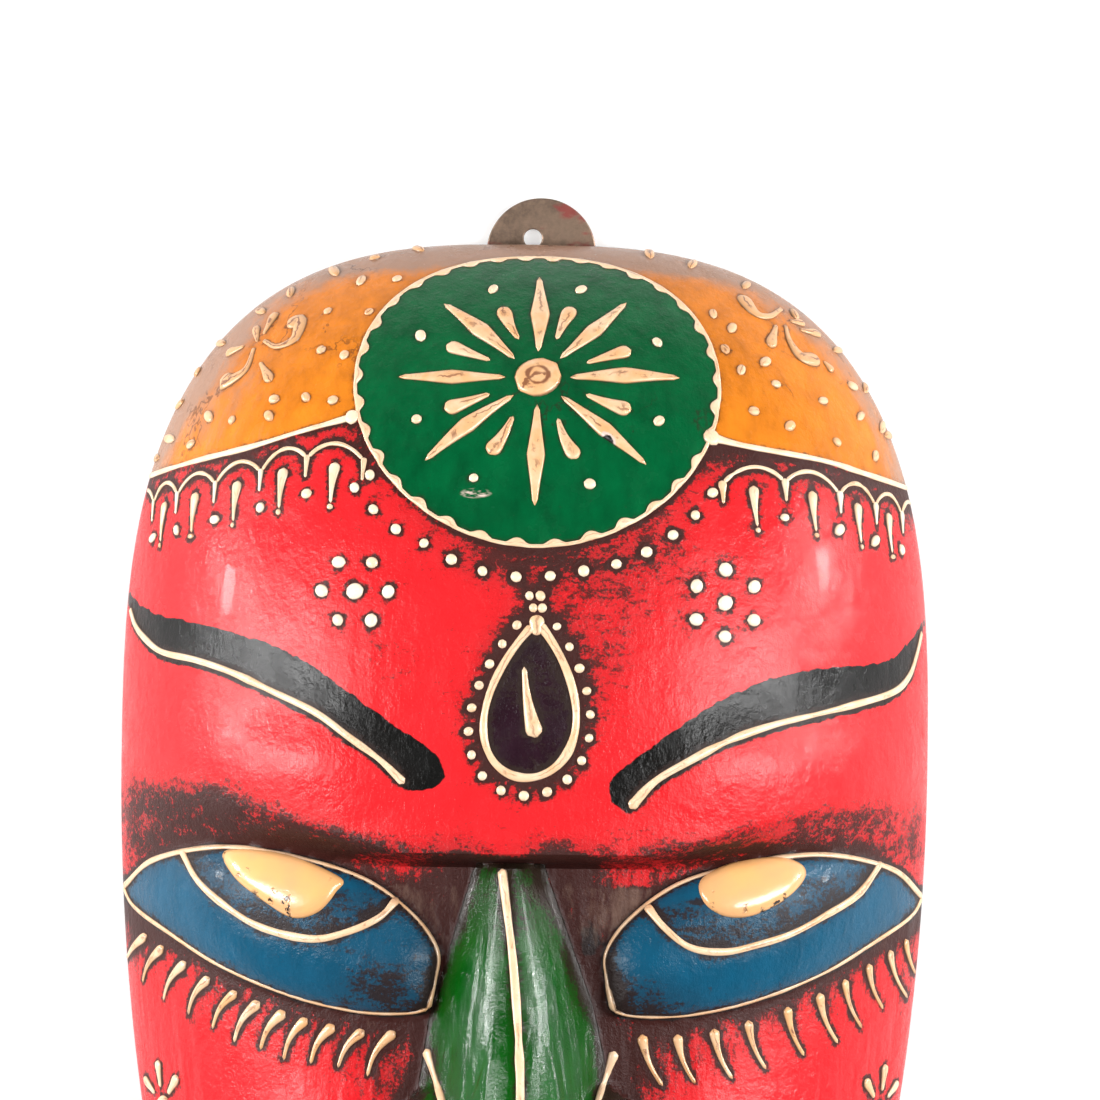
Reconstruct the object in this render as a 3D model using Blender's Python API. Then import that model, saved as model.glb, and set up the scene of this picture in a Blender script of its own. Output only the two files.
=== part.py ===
"""A carved wooden wall mask with a sheet-metal hanger plate, lying on its back.

Units are metres. The face looks up along +Z, the top of the head points along +Y, and the flat
back lies on z = 0. The origin is under the middle of the whole object's box. Places on the face
are measured from the middle of its widest line, x across and y up the face.
"""

import math

import bmesh
import bpy
import numpy as np

# Outline and depth of the carved block
FACE_WIDTH = 0.150
CROWN_REACH = 0.0964       # from the widest line up to the top of the head
JAW_REACH = 0.1836         # from the widest line down to the chin
FACE_DEPTH = 0.056         # from the back plane to the forehead's highest point
RIM_HEIGHT = 0.008         # the upright edge all round the back
CROWN_SQUARENESS = 2.9     # exponent of the outline's curve above the widest line
JAW_SQUARENESS = 2.0       # and below it
DOME_FALL = 2.8            # how late the front starts to fall away towards the edge
DOME_ROUND = 1.4           # how steeply it meets the upright edge

# Carving. Across the face a place is a share of half its width, and down the face, from the
# widest line, a share of the jaw's reach. Depths and heights are real sizes.
LEDGE_START = 0.089        # where the forehead breaks off over the nose root
LEDGE_LIFT = 0.055         # how much higher it breaks off at the temples
LEDGE_FALL = 0.012         # the height over which the cut falls, in the middle
TEMPLE_FALL = 0.060        # and at the temples
LEDGE_CUT = 0.009          # depth of the cut behind the brow, in the middle
TEMPLE_CUT = 0.0045        # and at the temples
SOCKET_SPAN = (0.20, 0.85)     # where the middle's values pass over to the temples'
SOCKET_FADE = (0.33, 0.72)     # where the cut runs out again, down the cheeks
SOCKET_LEFT = 0.25         # share of the cut that is left below the cheeks
EDGE_GUARD = 6.0           # power of the fade that keeps the carving off the upright edge

BROW_LINE = 0.005          # crest of the soft ridge over each eye, down the face
BROW_SPAN = (0.25, 0.60)   # where it starts beside the nose and where it is full
BROW_SPREAD = 0.0085
BROW_HEIGHT = 0.0016

EYE_UPPER = ((0.990, 0.131), (0.907, 0.101), (0.740, 0.086), (0.560, 0.094),
             (0.387, 0.115), (0.267, 0.150), (0.207, 0.185))
EYE_INNER = ((0.211, 0.215), (0.226, 0.243))
EYE_LOWER = ((0.280, 0.248), (0.400, 0.247), (0.560, 0.233), (0.733, 0.206),
             (0.873, 0.173), (0.960, 0.150))
EYE_STEP = 0.0024          # height of the step round the eye
EYE_STEP_WIDTH = 0.0016
EYE_BULGE = 0.0034         # how much the eye rises inside its step
EYE_BULGE_REACH = 0.0095   # distance over which it rises

NOSE_ROOT = 0.097
NOSE_BASE = 0.492
NOSE_LEAN = 0.032          # how far the root stands to the face's left, across
NOSE_WIDTHS = ((0.0, 0.083), (0.37, 0.200), (0.63, 0.245), (0.86, 0.268), (1.0, 0.235))
NOSE_HEIGHTS = ((0.0, 0.0072), (0.37, 0.0135), (0.63, 0.0190), (0.90, 0.0260), (1.0, 0.0245))
NOSE_RIDGE_ROUND = 0.35    # share of the half width that the ridge's rounding takes
NOSE_UNDERSIDE = 0.065     # share of the nose's length over which its tip falls away
WING_PLACE = (0.195, 0.410)
WING_WIDTH = 0.0092        # half the width of a nose wing
WING_LENGTH = 0.0170       # and half its length
WING_HEIGHT = 0.0130
WING_BLEND = 0.0025        # how softly the wing runs into the nose's flank
NOSTRIL_PLACE = (0.105, 0.492)
NOSTRIL_SPREAD = 0.0036
NOSTRIL_DEPTH = 0.0060

CHEEK_PLACE = (0.52, 0.42)
CHEEK_SPREAD = 0.016
CHEEK_HEIGHT = 0.0030

MOUTH_LINE = 0.640
MOUTH_HALF = 0.400
UPPER_LIP = 0.060          # height of the upper lip, down the face
LOWER_LIP = 0.066
LIP_DIP = 0.30             # depth of the dip in the middle of the upper lip
LIP_HEIGHT = 0.0066

CHIN_PLACE = 0.830
CHIN_SPREAD = 0.0150
CHIN_HEIGHT = 0.0060

# Hollow back
RIM_SIDE = 0.019           # width of the flat rim at the sides
RIM_TOP = 0.0164
RIM_CHIN = 0.0276
BROW_WALL = 0.022          # wood left between the hollow and the forehead's highest point

# Hanger plate and its nails
PLATE_RADIUS = 0.0102
PLATE_THICKNESS = 0.0008
PLATE_OVERHANG = 0.0088    # how far it stands above the top of the head
PLATE_ASIDE = 0.0019       # how far right of the middle it was nailed
PLATE_HOLE_RADIUS = 0.0017
PLATE_HOLE_RISE = 0.0027   # the hole's centre above the plate's
PLATE_HOLE_ASIDE = -0.0016
NAIL_HEAD_RADIUS = 0.0019
NAIL_HEAD_THICKNESS = 0.0006
NAIL_SHANK_RADIUS = 0.0007
NAIL_LENGTH = 0.009
NAIL_SPACING = 0.009
NAIL_DROP = 0.0055         # the nails below the plate's centre
NAIL_INSET = 0.0002        # the nail heads lie this far inside the back plane
GAP = 0.0003               # clearance between pieces that touch

# Facets
COLUMNS = 240
CROWN_ROWS = 70
JAW_ROWS = 300
FRONT_FACETS = 8000
CURVE_STEPS = 8            # points between two named points of the eye's outline
ROUND_SIDES = 32
NAIL_SIDES = 12
HOLLOW_SEGMENTS = 40
HOLLOW_RINGS = 20

HALF = FACE_WIDTH / 2
FACE_Y = (JAW_REACH - CROWN_REACH - PLATE_OVERHANG) / 2     # the widest line in the world
PLATE_X = PLATE_ASIDE
PLATE_Y = FACE_Y + CROWN_REACH + PLATE_OVERHANG - PLATE_RADIUS
PLATE_BACK = NAIL_INSET + NAIL_HEAD_THICKNESS + GAP
PLATE_FRONT = PLATE_BACK + PLATE_THICKNESS
POCKET_DEPTH = PLATE_FRONT + GAP
NAIL_Y = PLATE_Y - NAIL_DROP
CUT_PAST = 0.003           # how far a cutter runs past the face that it cuts


def softer(a, b, blend):
    """The larger of two heights, with their meeting line rounded."""
    share = np.clip(0.5 + 0.5 * (a - b) / blend, 0, 1)
    return b + (a - b) * share + blend * share * (1 - share)


def ease(t):
    """A smooth step from 0 to 1."""
    t = np.clip(t, 0.0, 1.0)
    return t * t * (3.0 - 2.0 * t)


def through(points, steps):
    """A smooth closed curve through the points, as an array with steps points to each stretch."""
    p = np.array(points)
    before, after, beyond = np.roll(p, 1, 0), np.roll(p, -1, 0), np.roll(p, -2, 0)
    rows = []
    for t in np.arange(steps) / steps:
        rows.append(0.5 * (2 * p + (after - before) * t
                           + (2 * before - 5 * p + 4 * after - beyond) * t ** 2
                           + (3 * p - before - 3 * after + beyond) * t ** 3))
    return np.stack(rows, 1).reshape(-1, 2)


def inside_distance(x, y, outline):
    """How far each point lies inside a closed outline, negative outside it."""
    nearest = np.full(x.shape, np.inf)
    inside = np.zeros(x.shape, bool)
    for (ax, ay), (bx, by) in zip(outline, np.roll(outline, -1, 0)):
        dx, dy = bx - ax, by - ay
        t = np.clip(((x - ax) * dx + (y - ay) * dy) / (dx * dx + dy * dy), 0, 1)
        nearest = np.minimum(nearest, np.hypot(x - ax - t * dx, y - ay - t * dy))
        crosses = (ay > y) != (by > y)
        slope = (y - ay) / np.where(dy == 0, 1, dy)
        inside ^= crosses & (x < ax + slope * dx)
    return np.where(inside, nearest, -nearest)


def half_width(y):
    """Half the outline's width at a height on the face."""
    reach = np.where(y >= 0, CROWN_REACH, JAW_REACH)
    power = np.where(y >= 0, CROWN_SQUARENESS, JAW_SQUARENESS)
    return HALF * np.maximum(0, 1 - np.minimum(1, abs(y) / reach) ** power) ** (1 / power)


def edge_share(x, y):
    """0 in the middle of the face and 1 on its outline."""
    reach = np.where(y >= 0, CROWN_REACH, JAW_REACH)
    power = np.where(y >= 0, CROWN_SQUARENESS, JAW_SQUARENESS)
    return np.minimum(1, ((abs(x) / HALF) ** power + (abs(y) / reach) ** power) ** (1 / power))


def dome(x, y):
    rise = (1 - edge_share(x, y) ** DOME_FALL) ** (1 / DOME_ROUND)
    return RIM_HEIGHT + (FACE_DEPTH - RIM_HEIGHT) * rise


def brow_cut(across, down):
    """Depth of the cut under the brow, which is sharp over the nose and soft at the temples."""
    side = ease((across - SOCKET_SPAN[0]) / (SOCKET_SPAN[1] - SOCKET_SPAN[0]))
    start = LEDGE_START - LEDGE_LIFT * side
    fall = LEDGE_FALL + (TEMPLE_FALL - LEDGE_FALL) * side
    depth = LEDGE_CUT + (TEMPLE_CUT - LEDGE_CUT) * side
    runs_out = ease((down - SOCKET_FADE[0]) / (SOCKET_FADE[1] - SOCKET_FADE[0]))
    return depth * ease((down - start) / fall) * (1 - (1 - SOCKET_LEFT) * runs_out)


def brow_rise(across, y):
    """A soft ridge along the lower edge of the forehead, over each eye."""
    full = ease((across - BROW_SPAN[0]) / (BROW_SPAN[1] - BROW_SPAN[0]))
    return BROW_HEIGHT * full * np.exp(-((y + BROW_LINE * JAW_REACH) / BROW_SPREAD) ** 2)


def eye_rise(x, y):
    outline = through(EYE_UPPER + EYE_INNER + EYE_LOWER, CURVE_STEPS) * (HALF, -JAW_REACH)
    inside = inside_distance(abs(x), y, outline)
    swell = 1 - (1 - np.clip(inside / EYE_BULGE_REACH, 0, 1)) ** 2
    return EYE_STEP * ease(inside / EYE_STEP_WIDTH + 0.5) + EYE_BULGE * swell


def nose_rise(x, down):
    along = (down - NOSE_ROOT) / (NOSE_BASE - NOSE_ROOT)
    width = HALF * np.interp(along, *zip(*NOSE_WIDTHS))
    height = np.interp(along, *zip(*NOSE_HEIGHTS))
    middle = -HALF * NOSE_LEAN * (1 - np.clip(along, 0, 1))
    side = (x - middle) / width
    slope = np.sqrt(side ** 2 + NOSE_RIDGE_ROUND ** 2) - NOSE_RIDGE_ROUND
    flank = np.clip(1 - slope / (math.hypot(1, NOSE_RIDGE_ROUND) - NOSE_RIDGE_ROUND), 0, 1)
    tip = 1 - ease((along - 1 + NOSE_UNDERSIDE) / NOSE_UNDERSIDE)
    return height * flank * tip * (along >= 0)


def wing_rise(x, y):
    out = (abs(x) - WING_PLACE[0] * HALF) / WING_WIDTH
    up = (y + WING_PLACE[1] * JAW_REACH) / WING_LENGTH
    return WING_HEIGHT * np.sqrt(np.clip(1 - out ** 2 - up ** 2, 0, 1))


def swelling(x, y, place, spread, height):
    """A soft round rise."""
    from_middle = np.hypot(abs(x) - place[0] * HALF, y + place[1] * JAW_REACH)
    return height * np.exp(-(from_middle / spread) ** 2)


def lip_rise(across, down):
    side = np.minimum(1, across / MOUTH_HALF)
    body = 1 - side ** 2
    dip = 1 - LIP_DIP * np.exp(-(side / 0.18) ** 2)
    upper = (MOUTH_LINE - down) / np.maximum(1e-6, UPPER_LIP * body * dip)
    lower = (down - MOUTH_LINE) / np.maximum(1e-6, LOWER_LIP * np.sqrt(body))
    place = np.where(down < MOUTH_LINE, upper, lower)
    roll = np.sqrt(np.clip(1 - (2 * np.clip(place, 0, 1) - 1) ** 2, 0, 1))
    return LIP_HEIGHT * roll * np.sqrt(body)


def front(x, y):
    """Height of the carved front over the back plane."""
    across, down = abs(x) / HALF, -y / JAW_REACH
    guard = 1 - edge_share(x, y) ** EDGE_GUARD
    ground = dome(x, y) - brow_cut(across, down) * guard
    flesh = (eye_rise(x, y) + lip_rise(across, down) + brow_rise(across, y)
             + swelling(x, y, CHEEK_PLACE, CHEEK_SPREAD, CHEEK_HEIGHT)
             + swelling(x, y, (0, CHIN_PLACE), CHIN_SPREAD, CHIN_HEIGHT))
    nose = softer(nose_rise(x, down), wing_rise(x, y), WING_BLEND) - WING_BLEND / 4
    nose = nose - swelling(x, y, NOSTRIL_PLACE, NOSTRIL_SPREAD, NOSTRIL_DEPTH)
    return ground + np.maximum(flesh, nose) * guard


def material(name, color, roughness, metallic=0.0):
    made = bpy.data.materials.new(name)
    made.use_nodes = True
    shader = made.node_tree.nodes["Principled BSDF"]
    shader.inputs["Base Color"].default_value = (*color, 1.0)
    shader.inputs["Roughness"].default_value = roughness
    shader.inputs["Metallic"].default_value = metallic
    return made


def collection(name):
    made = bpy.data.collections.new(name)
    bpy.context.scene.collection.children.link(made)
    return made


def object_from(bm, name, group, look=None):
    mesh = bpy.data.meshes.new(name)
    bm.to_mesh(mesh)
    bm.free()
    made = bpy.data.objects.new(name, mesh)
    if look:
        mesh.materials.append(look)
    group.objects.link(made)
    return made


def cutter(bm, name, group):
    made = object_from(bm, name, group)
    made.hide_render = True
    made.display_type = "WIRE"
    return made


def cut(body, tool):
    made = body.modifiers.new("Cut " + tool.name, "BOOLEAN")
    made.operation = "DIFFERENCE"
    made.solver = "EXACT"
    made.object = tool


def post(radius, low, high, sides):
    """An upright cylinder between two heights."""
    bm = bmesh.new()
    bmesh.ops.create_cone(bm, cap_ends=True, segments=sides, radius1=radius, radius2=radius,
                          depth=high - low)
    bmesh.ops.translate(bm, vec=(0, 0, (low + high) / 2), verts=bm.verts)
    return bm


def front_block():
    """The carved front with upright sides, closed a little below the back plane."""
    rows = CROWN_ROWS + JAW_ROWS
    bm = bmesh.new()
    bmesh.ops.create_grid(bm, x_segments=COLUMNS, y_segments=rows, size=1.0)
    place = np.array([v.co for v in bm.verts])
    row = np.round((place[:, 1] + 1) / 2 * rows) - JAW_ROWS
    reach = np.where(row >= 0, CROWN_REACH, JAW_REACH)
    share = np.where(row >= 0, row / CROWN_ROWS, row / JAW_ROWS)
    y = reach * np.sin(share * math.pi / 2)
    x = half_width(y) * np.sin(place[:, 0] * math.pi / 2)
    z = front(x, y)
    for vertex, spot in zip(bm.verts, np.stack([x, y, z], 1)):
        vertex.co = spot
    bmesh.ops.remove_doubles(bm, verts=bm.verts, dist=1e-6)
    rim = [e for e in bm.edges if e.is_boundary]
    skirt = bmesh.ops.extrude_edge_only(bm, edges=rim)["geom"]
    for vertex in (g for g in skirt if isinstance(g, bmesh.types.BMVert)):
        vertex.co.z = -CUT_PAST
    bmesh.ops.contextual_create(bm, geom=[g for g in skirt if isinstance(g, bmesh.types.BMEdge)])
    bmesh.ops.recalc_face_normals(bm, faces=bm.faces)
    return bm


def make_body(parts, cutters):
    block = front_block()
    facets = sum(len(face.verts) - 2 for face in block.faces)
    body = object_from(block, "mask_body", parts, material("painted_wood", (0.72, 0.05, 0.04), 0.3))
    body.location = (0, FACE_Y, 0)
    facet = body.modifiers.new("Facets", "DECIMATE")
    facet.ratio = min(1.0, FRONT_FACETS / facets)

    bm = bmesh.new()
    bmesh.ops.create_cube(bm, size=1.0)
    bmesh.ops.scale(bm, vec=(2 * FACE_WIDTH, 2 * (CROWN_REACH + JAW_REACH), 4 * CUT_PAST),
                    verts=bm.verts)
    floor = cutter(bm, "back_plane", cutters)
    floor.location = (0, 0, -2 * CUT_PAST)
    cut(body, floor)

    bm = bmesh.new()
    bmesh.ops.create_uvsphere(bm, u_segments=HOLLOW_SEGMENTS, v_segments=HOLLOW_RINGS, radius=1.0)
    top, bottom = CROWN_REACH - RIM_TOP, -(JAW_REACH - RIM_CHIN)
    bmesh.ops.scale(bm, vec=(HALF - RIM_SIDE, (top - bottom) / 2, FACE_DEPTH - BROW_WALL),
                    verts=bm.verts)
    hollow = cutter(bm, "hollow", cutters)
    hollow.location = (0, FACE_Y + (top + bottom) / 2, 0)
    cut(body, hollow)

    pocket = cutter(post(PLATE_RADIUS + GAP, -CUT_PAST, POCKET_DEPTH, ROUND_SIDES),
                    "plate_pocket", cutters)
    pocket.location = (PLATE_X, PLATE_Y, 0)
    cut(body, pocket)
    for side in (-1, 1):
        hole = cutter(post(NAIL_SHANK_RADIUS + GAP, -CUT_PAST, NAIL_INSET + NAIL_LENGTH + GAP,
                           NAIL_SIDES), "nail_hole_" + ("left" if side < 0 else "right"), cutters)
        hole.location = (PLATE_X + side * NAIL_SPACING / 2, NAIL_Y, 0)
        cut(body, hole)
    body.data.shade_smooth()
    body.data.set_sharp_from_angle(angle=math.radians(35))
    return body


def make_plate(parts, cutters):
    plate = object_from(post(PLATE_RADIUS, PLATE_BACK, PLATE_FRONT, ROUND_SIDES), "hanger_plate",
                        parts, material("tarnished_steel", (0.20, 0.16, 0.13), 0.45, 0.9))
    plate.location = (PLATE_X, PLATE_Y, 0)
    hole = cutter(post(PLATE_HOLE_RADIUS, -CUT_PAST, CUT_PAST, ROUND_SIDES), "hang_hole", cutters)
    hole.location = (PLATE_X + PLATE_HOLE_ASIDE, PLATE_Y + PLATE_HOLE_RISE, 0)
    cut(plate, hole)
    for side in (-1, 1):
        hole = cutter(post(NAIL_SHANK_RADIUS + GAP, -CUT_PAST, CUT_PAST, NAIL_SIDES),
                      "plate_hole_" + ("left" if side < 0 else "right"), cutters)
        hole.location = (PLATE_X + side * NAIL_SPACING / 2, NAIL_Y, 0)
        cut(plate, hole)
    return plate


def make_nail(name, side, parts, look):
    """A turned nail, its flat head at the back and its shank running up into the wood."""
    tip = NAIL_LENGTH
    profile = ((0, 0), (NAIL_HEAD_RADIUS, 0), (NAIL_HEAD_RADIUS, NAIL_HEAD_THICKNESS),
               (NAIL_SHANK_RADIUS, NAIL_HEAD_THICKNESS), (NAIL_SHANK_RADIUS, tip * 0.8), (0, tip))
    bm = bmesh.new()
    line = [bm.verts.new((r, 0, h)) for r, h in profile]
    edges = [bm.edges.new(pair) for pair in zip(line, line[1:])]
    bmesh.ops.spin(bm, geom=line + edges, cent=(0, 0, 0), axis=(0, 0, 1), angle=2 * math.pi,
                   steps=NAIL_SIDES, use_merge=True)
    bmesh.ops.remove_doubles(bm, verts=bm.verts, dist=1e-6)
    bmesh.ops.recalc_face_normals(bm, faces=bm.faces)
    nail = object_from(bm, name, parts, look)
    nail.location = (PLATE_X + side * NAIL_SPACING / 2, NAIL_Y, NAIL_INSET)
    nail.data.shade_smooth()
    nail.data.set_sharp_from_angle(angle=math.radians(35))
    return nail


def main():
    for old in list(bpy.data.objects):
        bpy.data.objects.remove(old, do_unlink=True)
    parts = collection("wooden_wall_mask")
    cutters = collection("cutters")
    make_body(parts, cutters)
    make_plate(parts, cutters)
    iron = material("nail_iron", (0.10, 0.08, 0.07), 0.55, 0.9)
    make_nail("hanger_nail_left", -1, parts, iron)
    make_nail("hanger_nail_right", 1, parts, iron)


main()
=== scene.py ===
"""The looks of a carved and painted wooden wall mask, lying on its back.

Sizes are in metres. Places on the face are measured from the middle of its widest line, x across
and y up the face, as in the frame's own model; the ornament's places are given in millimetres.
"""
import math

import bmesh
import bpy
import numpy as np
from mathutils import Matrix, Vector, kdtree


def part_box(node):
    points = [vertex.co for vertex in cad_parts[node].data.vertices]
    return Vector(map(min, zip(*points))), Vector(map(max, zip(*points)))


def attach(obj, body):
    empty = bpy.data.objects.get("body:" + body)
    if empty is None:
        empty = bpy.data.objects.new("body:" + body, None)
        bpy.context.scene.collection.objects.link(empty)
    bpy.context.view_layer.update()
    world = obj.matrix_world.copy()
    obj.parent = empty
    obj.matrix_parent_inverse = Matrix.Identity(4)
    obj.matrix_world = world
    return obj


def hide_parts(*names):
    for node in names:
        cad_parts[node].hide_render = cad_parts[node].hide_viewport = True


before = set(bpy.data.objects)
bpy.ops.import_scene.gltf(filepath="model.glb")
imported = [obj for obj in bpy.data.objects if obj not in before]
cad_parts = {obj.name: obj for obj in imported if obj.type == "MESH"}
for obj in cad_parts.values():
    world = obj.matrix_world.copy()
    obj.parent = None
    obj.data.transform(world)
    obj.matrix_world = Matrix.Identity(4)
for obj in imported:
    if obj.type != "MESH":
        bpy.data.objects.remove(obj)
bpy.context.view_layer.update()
MM = 0.001

# The carved form, with the values of the frame's own model
FACE_WIDTH = 0.150
CROWN_REACH = 0.0964
JAW_REACH = 0.1836
FACE_DEPTH = 0.056
RIM_HEIGHT = 0.008
CROWN_SQUARENESS = 2.9
JAW_SQUARENESS = 2.0
DOME_FALL = 2.8
DOME_ROUND = 1.4
LEDGE_START = 0.089
LEDGE_LIFT = 0.055
LEDGE_FALL = 0.012
TEMPLE_FALL = 0.060
LEDGE_CUT = 0.009
TEMPLE_CUT = 0.0045
SOCKET_SPAN = (0.20, 0.85)
SOCKET_FADE = (0.33, 0.72)
SOCKET_LEFT = 0.25
EDGE_GUARD = 6.0
BROW_LINE = 0.005
BROW_SPAN = (0.25, 0.60)
BROW_SPREAD = 0.0085
BROW_HEIGHT = 0.0016
EYE_UPPER = ((0.990, 0.131), (0.907, 0.101), (0.740, 0.086), (0.560, 0.094),
             (0.387, 0.115), (0.267, 0.150), (0.207, 0.185))
EYE_INNER = ((0.211, 0.215), (0.226, 0.243))
EYE_LOWER = ((0.280, 0.248), (0.400, 0.247), (0.560, 0.233), (0.733, 0.206),
             (0.873, 0.173), (0.960, 0.150))
EYE_STEP = 0.0024
EYE_STEP_WIDTH = 0.0012
EYE_BULGE = 0.0034
EYE_BULGE_REACH = 0.0095
NOSE_ROOT = 0.097
NOSE_BASE = 0.492
NOSE_LEAN = 0.032
NOSE_WIDTHS = ((0.0, 0.083), (0.37, 0.200), (0.63, 0.245), (0.86, 0.268), (1.0, 0.235))
NOSE_HEIGHTS = ((0.0, 0.0072), (0.37, 0.0135), (0.63, 0.0190), (0.90, 0.0260), (1.0, 0.0245))
NOSE_RIDGE_ROUND = 0.35
NOSE_UNDERSIDE = 0.065
WING_PLACE = (0.195, 0.410)
WING_WIDTH = 0.0092
WING_LENGTH = 0.0170
WING_HEIGHT = 0.0130
WING_BLEND = 0.0025
NOSTRIL_PLACE = (0.105, 0.492)
NOSTRIL_SPREAD = 0.0036
NOSTRIL_DEPTH = 0.0060
CHEEK_PLACE = (0.52, 0.42)
CHEEK_SPREAD = 0.016
CHEEK_HEIGHT = 0.0030
MOUTH_LINE = 0.640
MOUTH_HALF = 0.400
UPPER_LIP = 0.060
LOWER_LIP = 0.066
LIP_DIP = 0.30
LIP_DIP_SPREAD = 0.18
LIP_HEIGHT = 0.0066
CHIN_PLACE = 0.830
CHIN_SPREAD = 0.0150
CHIN_HEIGHT = 0.0060
RIM_SIDE = 0.019
RIM_TOP = 0.0164
RIM_CHIN = 0.0276
BROW_WALL = 0.022
HALF = FACE_WIDTH / 2

# The frame's places
body_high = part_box("mask_body")[1]
plate_low, plate_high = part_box("hanger_plate")
FACE_Y = body_high[1] - CROWN_REACH

# The camera of the photograph: square to the face, its picture leaning a little
CAMERA_HEIGHT = 2.4
PICTURE_WIDTH = 0.20504        # what the photograph's width spans, level with the rim
PICTURE_LEVEL = 0.004
PICTURE_MIDDLE = (0.00424, 0.0396)
PICTURE_LEAN = 0.74

HORIZON = 0.45             # brightness of the room, level with the mask
CEILING = 0.10             # and overhead
BAND_FADE = (0.20, 0.60)   # where the first passes into the second, from 0 level to 1 overhead
FLOOR_HALF = 3.0
FLOOR_DROP = 0.0005
FLOOR_SHADE = (0.555, 0.555, 0.55, 1.0)
FLOOR_GLOW = 0.50          # the floor's own light, which keeps it white
LAMP_AIM = 0.05            # height over the floor that every lamp points at
# Two tall soft boxes and two small low lamps: name, place from the middle of the widest line,
# size, watts and spread in degrees
LAMPS = (
    ("left_box", (-0.84, 0.04, 0.64), (0.24, 0.76), 13.0, 180),
    ("right_box", (0.76, 0.04, 0.72), (0.24, 0.84), 13.0, 180),
    ("left_low", (-0.95, 0.18, 0.14), (0.09, 0.08), 0.36, 60),
    ("right_low", (0.95, 0.24, 0.14), (0.09, 0.08), 0.36, 60))

rng = np.random.default_rng(11)


def ease(t):
    """A smooth step from 0 to 1."""
    t = np.clip(t, 0.0, 1.0)
    return t * t * (3.0 - 2.0 * t)


def rounded(t):
    """The half width of a round end, as a share, at a share of its radius from the tip."""
    return np.sqrt(np.clip(1 - (1 - np.clip(t, 0, 1)) ** 2, 0.02, 1))


def softer(a, b, blend):
    """The larger of two heights, with their meeting line rounded."""
    share = np.clip(0.5 + 0.5 * (a - b) / blend, 0, 1)
    return b + (a - b) * share + blend * share * (1 - share)


def through(points, steps, closed=True):
    """A smooth curve through the points, with steps points to each stretch."""
    p = np.array(points, float)
    if closed:
        before, after, beyond = np.roll(p, 1, 0), np.roll(p, -1, 0), np.roll(p, -2, 0)
    else:
        long = np.vstack([2 * p[0] - p[1], p, 2 * p[-1] - p[-2]])
        before, p, after, beyond = long[:-3], long[1:-2], long[2:-1], long[3:]
    rows = []
    for t in np.arange(steps) / steps:
        rows.append(0.5 * (2 * p + (after - before) * t
                           + (2 * before - 5 * p + 4 * after - beyond) * t ** 2
                           + (3 * p - before - 3 * after + beyond) * t ** 3))
    line = np.stack(rows, 1).reshape(-1, 2)
    return line if closed else np.vstack([line, long[-2]])


def inside_distance(x, y, outline):
    """How far each point lies inside a closed outline, negative outside it."""
    nearest = np.full(x.shape, np.inf)
    inside = np.zeros(x.shape, bool)
    for (ax, ay), (bx, by) in zip(outline, np.roll(outline, -1, 0)):
        dx, dy = bx - ax, by - ay
        t = np.clip(((x - ax) * dx + (y - ay) * dy) / (dx * dx + dy * dy + 1e-18), 0, 1)
        nearest = np.minimum(nearest, np.hypot(x - ax - t * dx, y - ay - t * dy))
        crosses = (ay > y) != (by > y)
        slope = (y - ay) / np.where(dy == 0, 1, dy)
        inside ^= crosses & (x < ax + slope * dx)
    return np.where(inside, nearest, -nearest)


def outline_shape(y):
    return (np.where(y >= 0, CROWN_REACH, JAW_REACH),
            np.where(y >= 0, CROWN_SQUARENESS, JAW_SQUARENESS))


def half_width(y):
    reach, power = outline_shape(y)
    return HALF * np.maximum(0, 1 - np.minimum(1, abs(y) / reach) ** power) ** (1 / power)


def edge_share(x, y):
    """How far out a point lies, from 0 in the middle to 1 on the outline."""
    reach, power = outline_shape(y)
    return np.minimum(1, ((abs(x) / HALF) ** power + (abs(y) / reach) ** power) ** (1 / power))


def dome(x, y):
    rise = (1 - edge_share(x, y) ** DOME_FALL) ** (1 / DOME_ROUND)
    return RIM_HEIGHT + (FACE_DEPTH - RIM_HEIGHT) * rise


def temple_share(across):
    return ease((across - SOCKET_SPAN[0]) / (SOCKET_SPAN[1] - SOCKET_SPAN[0]))


def brow_cut(across, down):
    side = temple_share(across)
    start = LEDGE_START - LEDGE_LIFT * side
    fall = LEDGE_FALL + (TEMPLE_FALL - LEDGE_FALL) * side
    depth = LEDGE_CUT + (TEMPLE_CUT - LEDGE_CUT) * side
    runs_out = ease((down - SOCKET_FADE[0]) / (SOCKET_FADE[1] - SOCKET_FADE[0]))
    return depth * ease((down - start) / fall) * (1 - (1 - SOCKET_LEFT) * runs_out)


def brow_rise(across, y):
    full = ease((across - BROW_SPAN[0]) / (BROW_SPAN[1] - BROW_SPAN[0]))
    return BROW_HEIGHT * full * np.exp(-((y + BROW_LINE * JAW_REACH) / BROW_SPREAD) ** 2)


EYE = through(EYE_UPPER + EYE_INNER + EYE_LOWER, 8) * (HALF, -JAW_REACH)


def eye_rise(x, y):
    inside = inside_distance(abs(x), y, EYE)
    swell = 1 - (1 - np.clip(inside / EYE_BULGE_REACH, 0, 1)) ** 2
    return EYE_STEP * ease(inside / EYE_STEP_WIDTH + 0.5) + EYE_BULGE * swell


def nose_side(x, y):
    """Where a point lies along the nose, and across it in half widths from the ridge."""
    along = (-y / JAW_REACH - NOSE_ROOT) / (NOSE_BASE - NOSE_ROOT)
    width = HALF * np.interp(along, *zip(*NOSE_WIDTHS))
    middle = -HALF * NOSE_LEAN * (1 - np.clip(along, 0, 1))
    return along, (x - middle) / width, width


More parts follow.
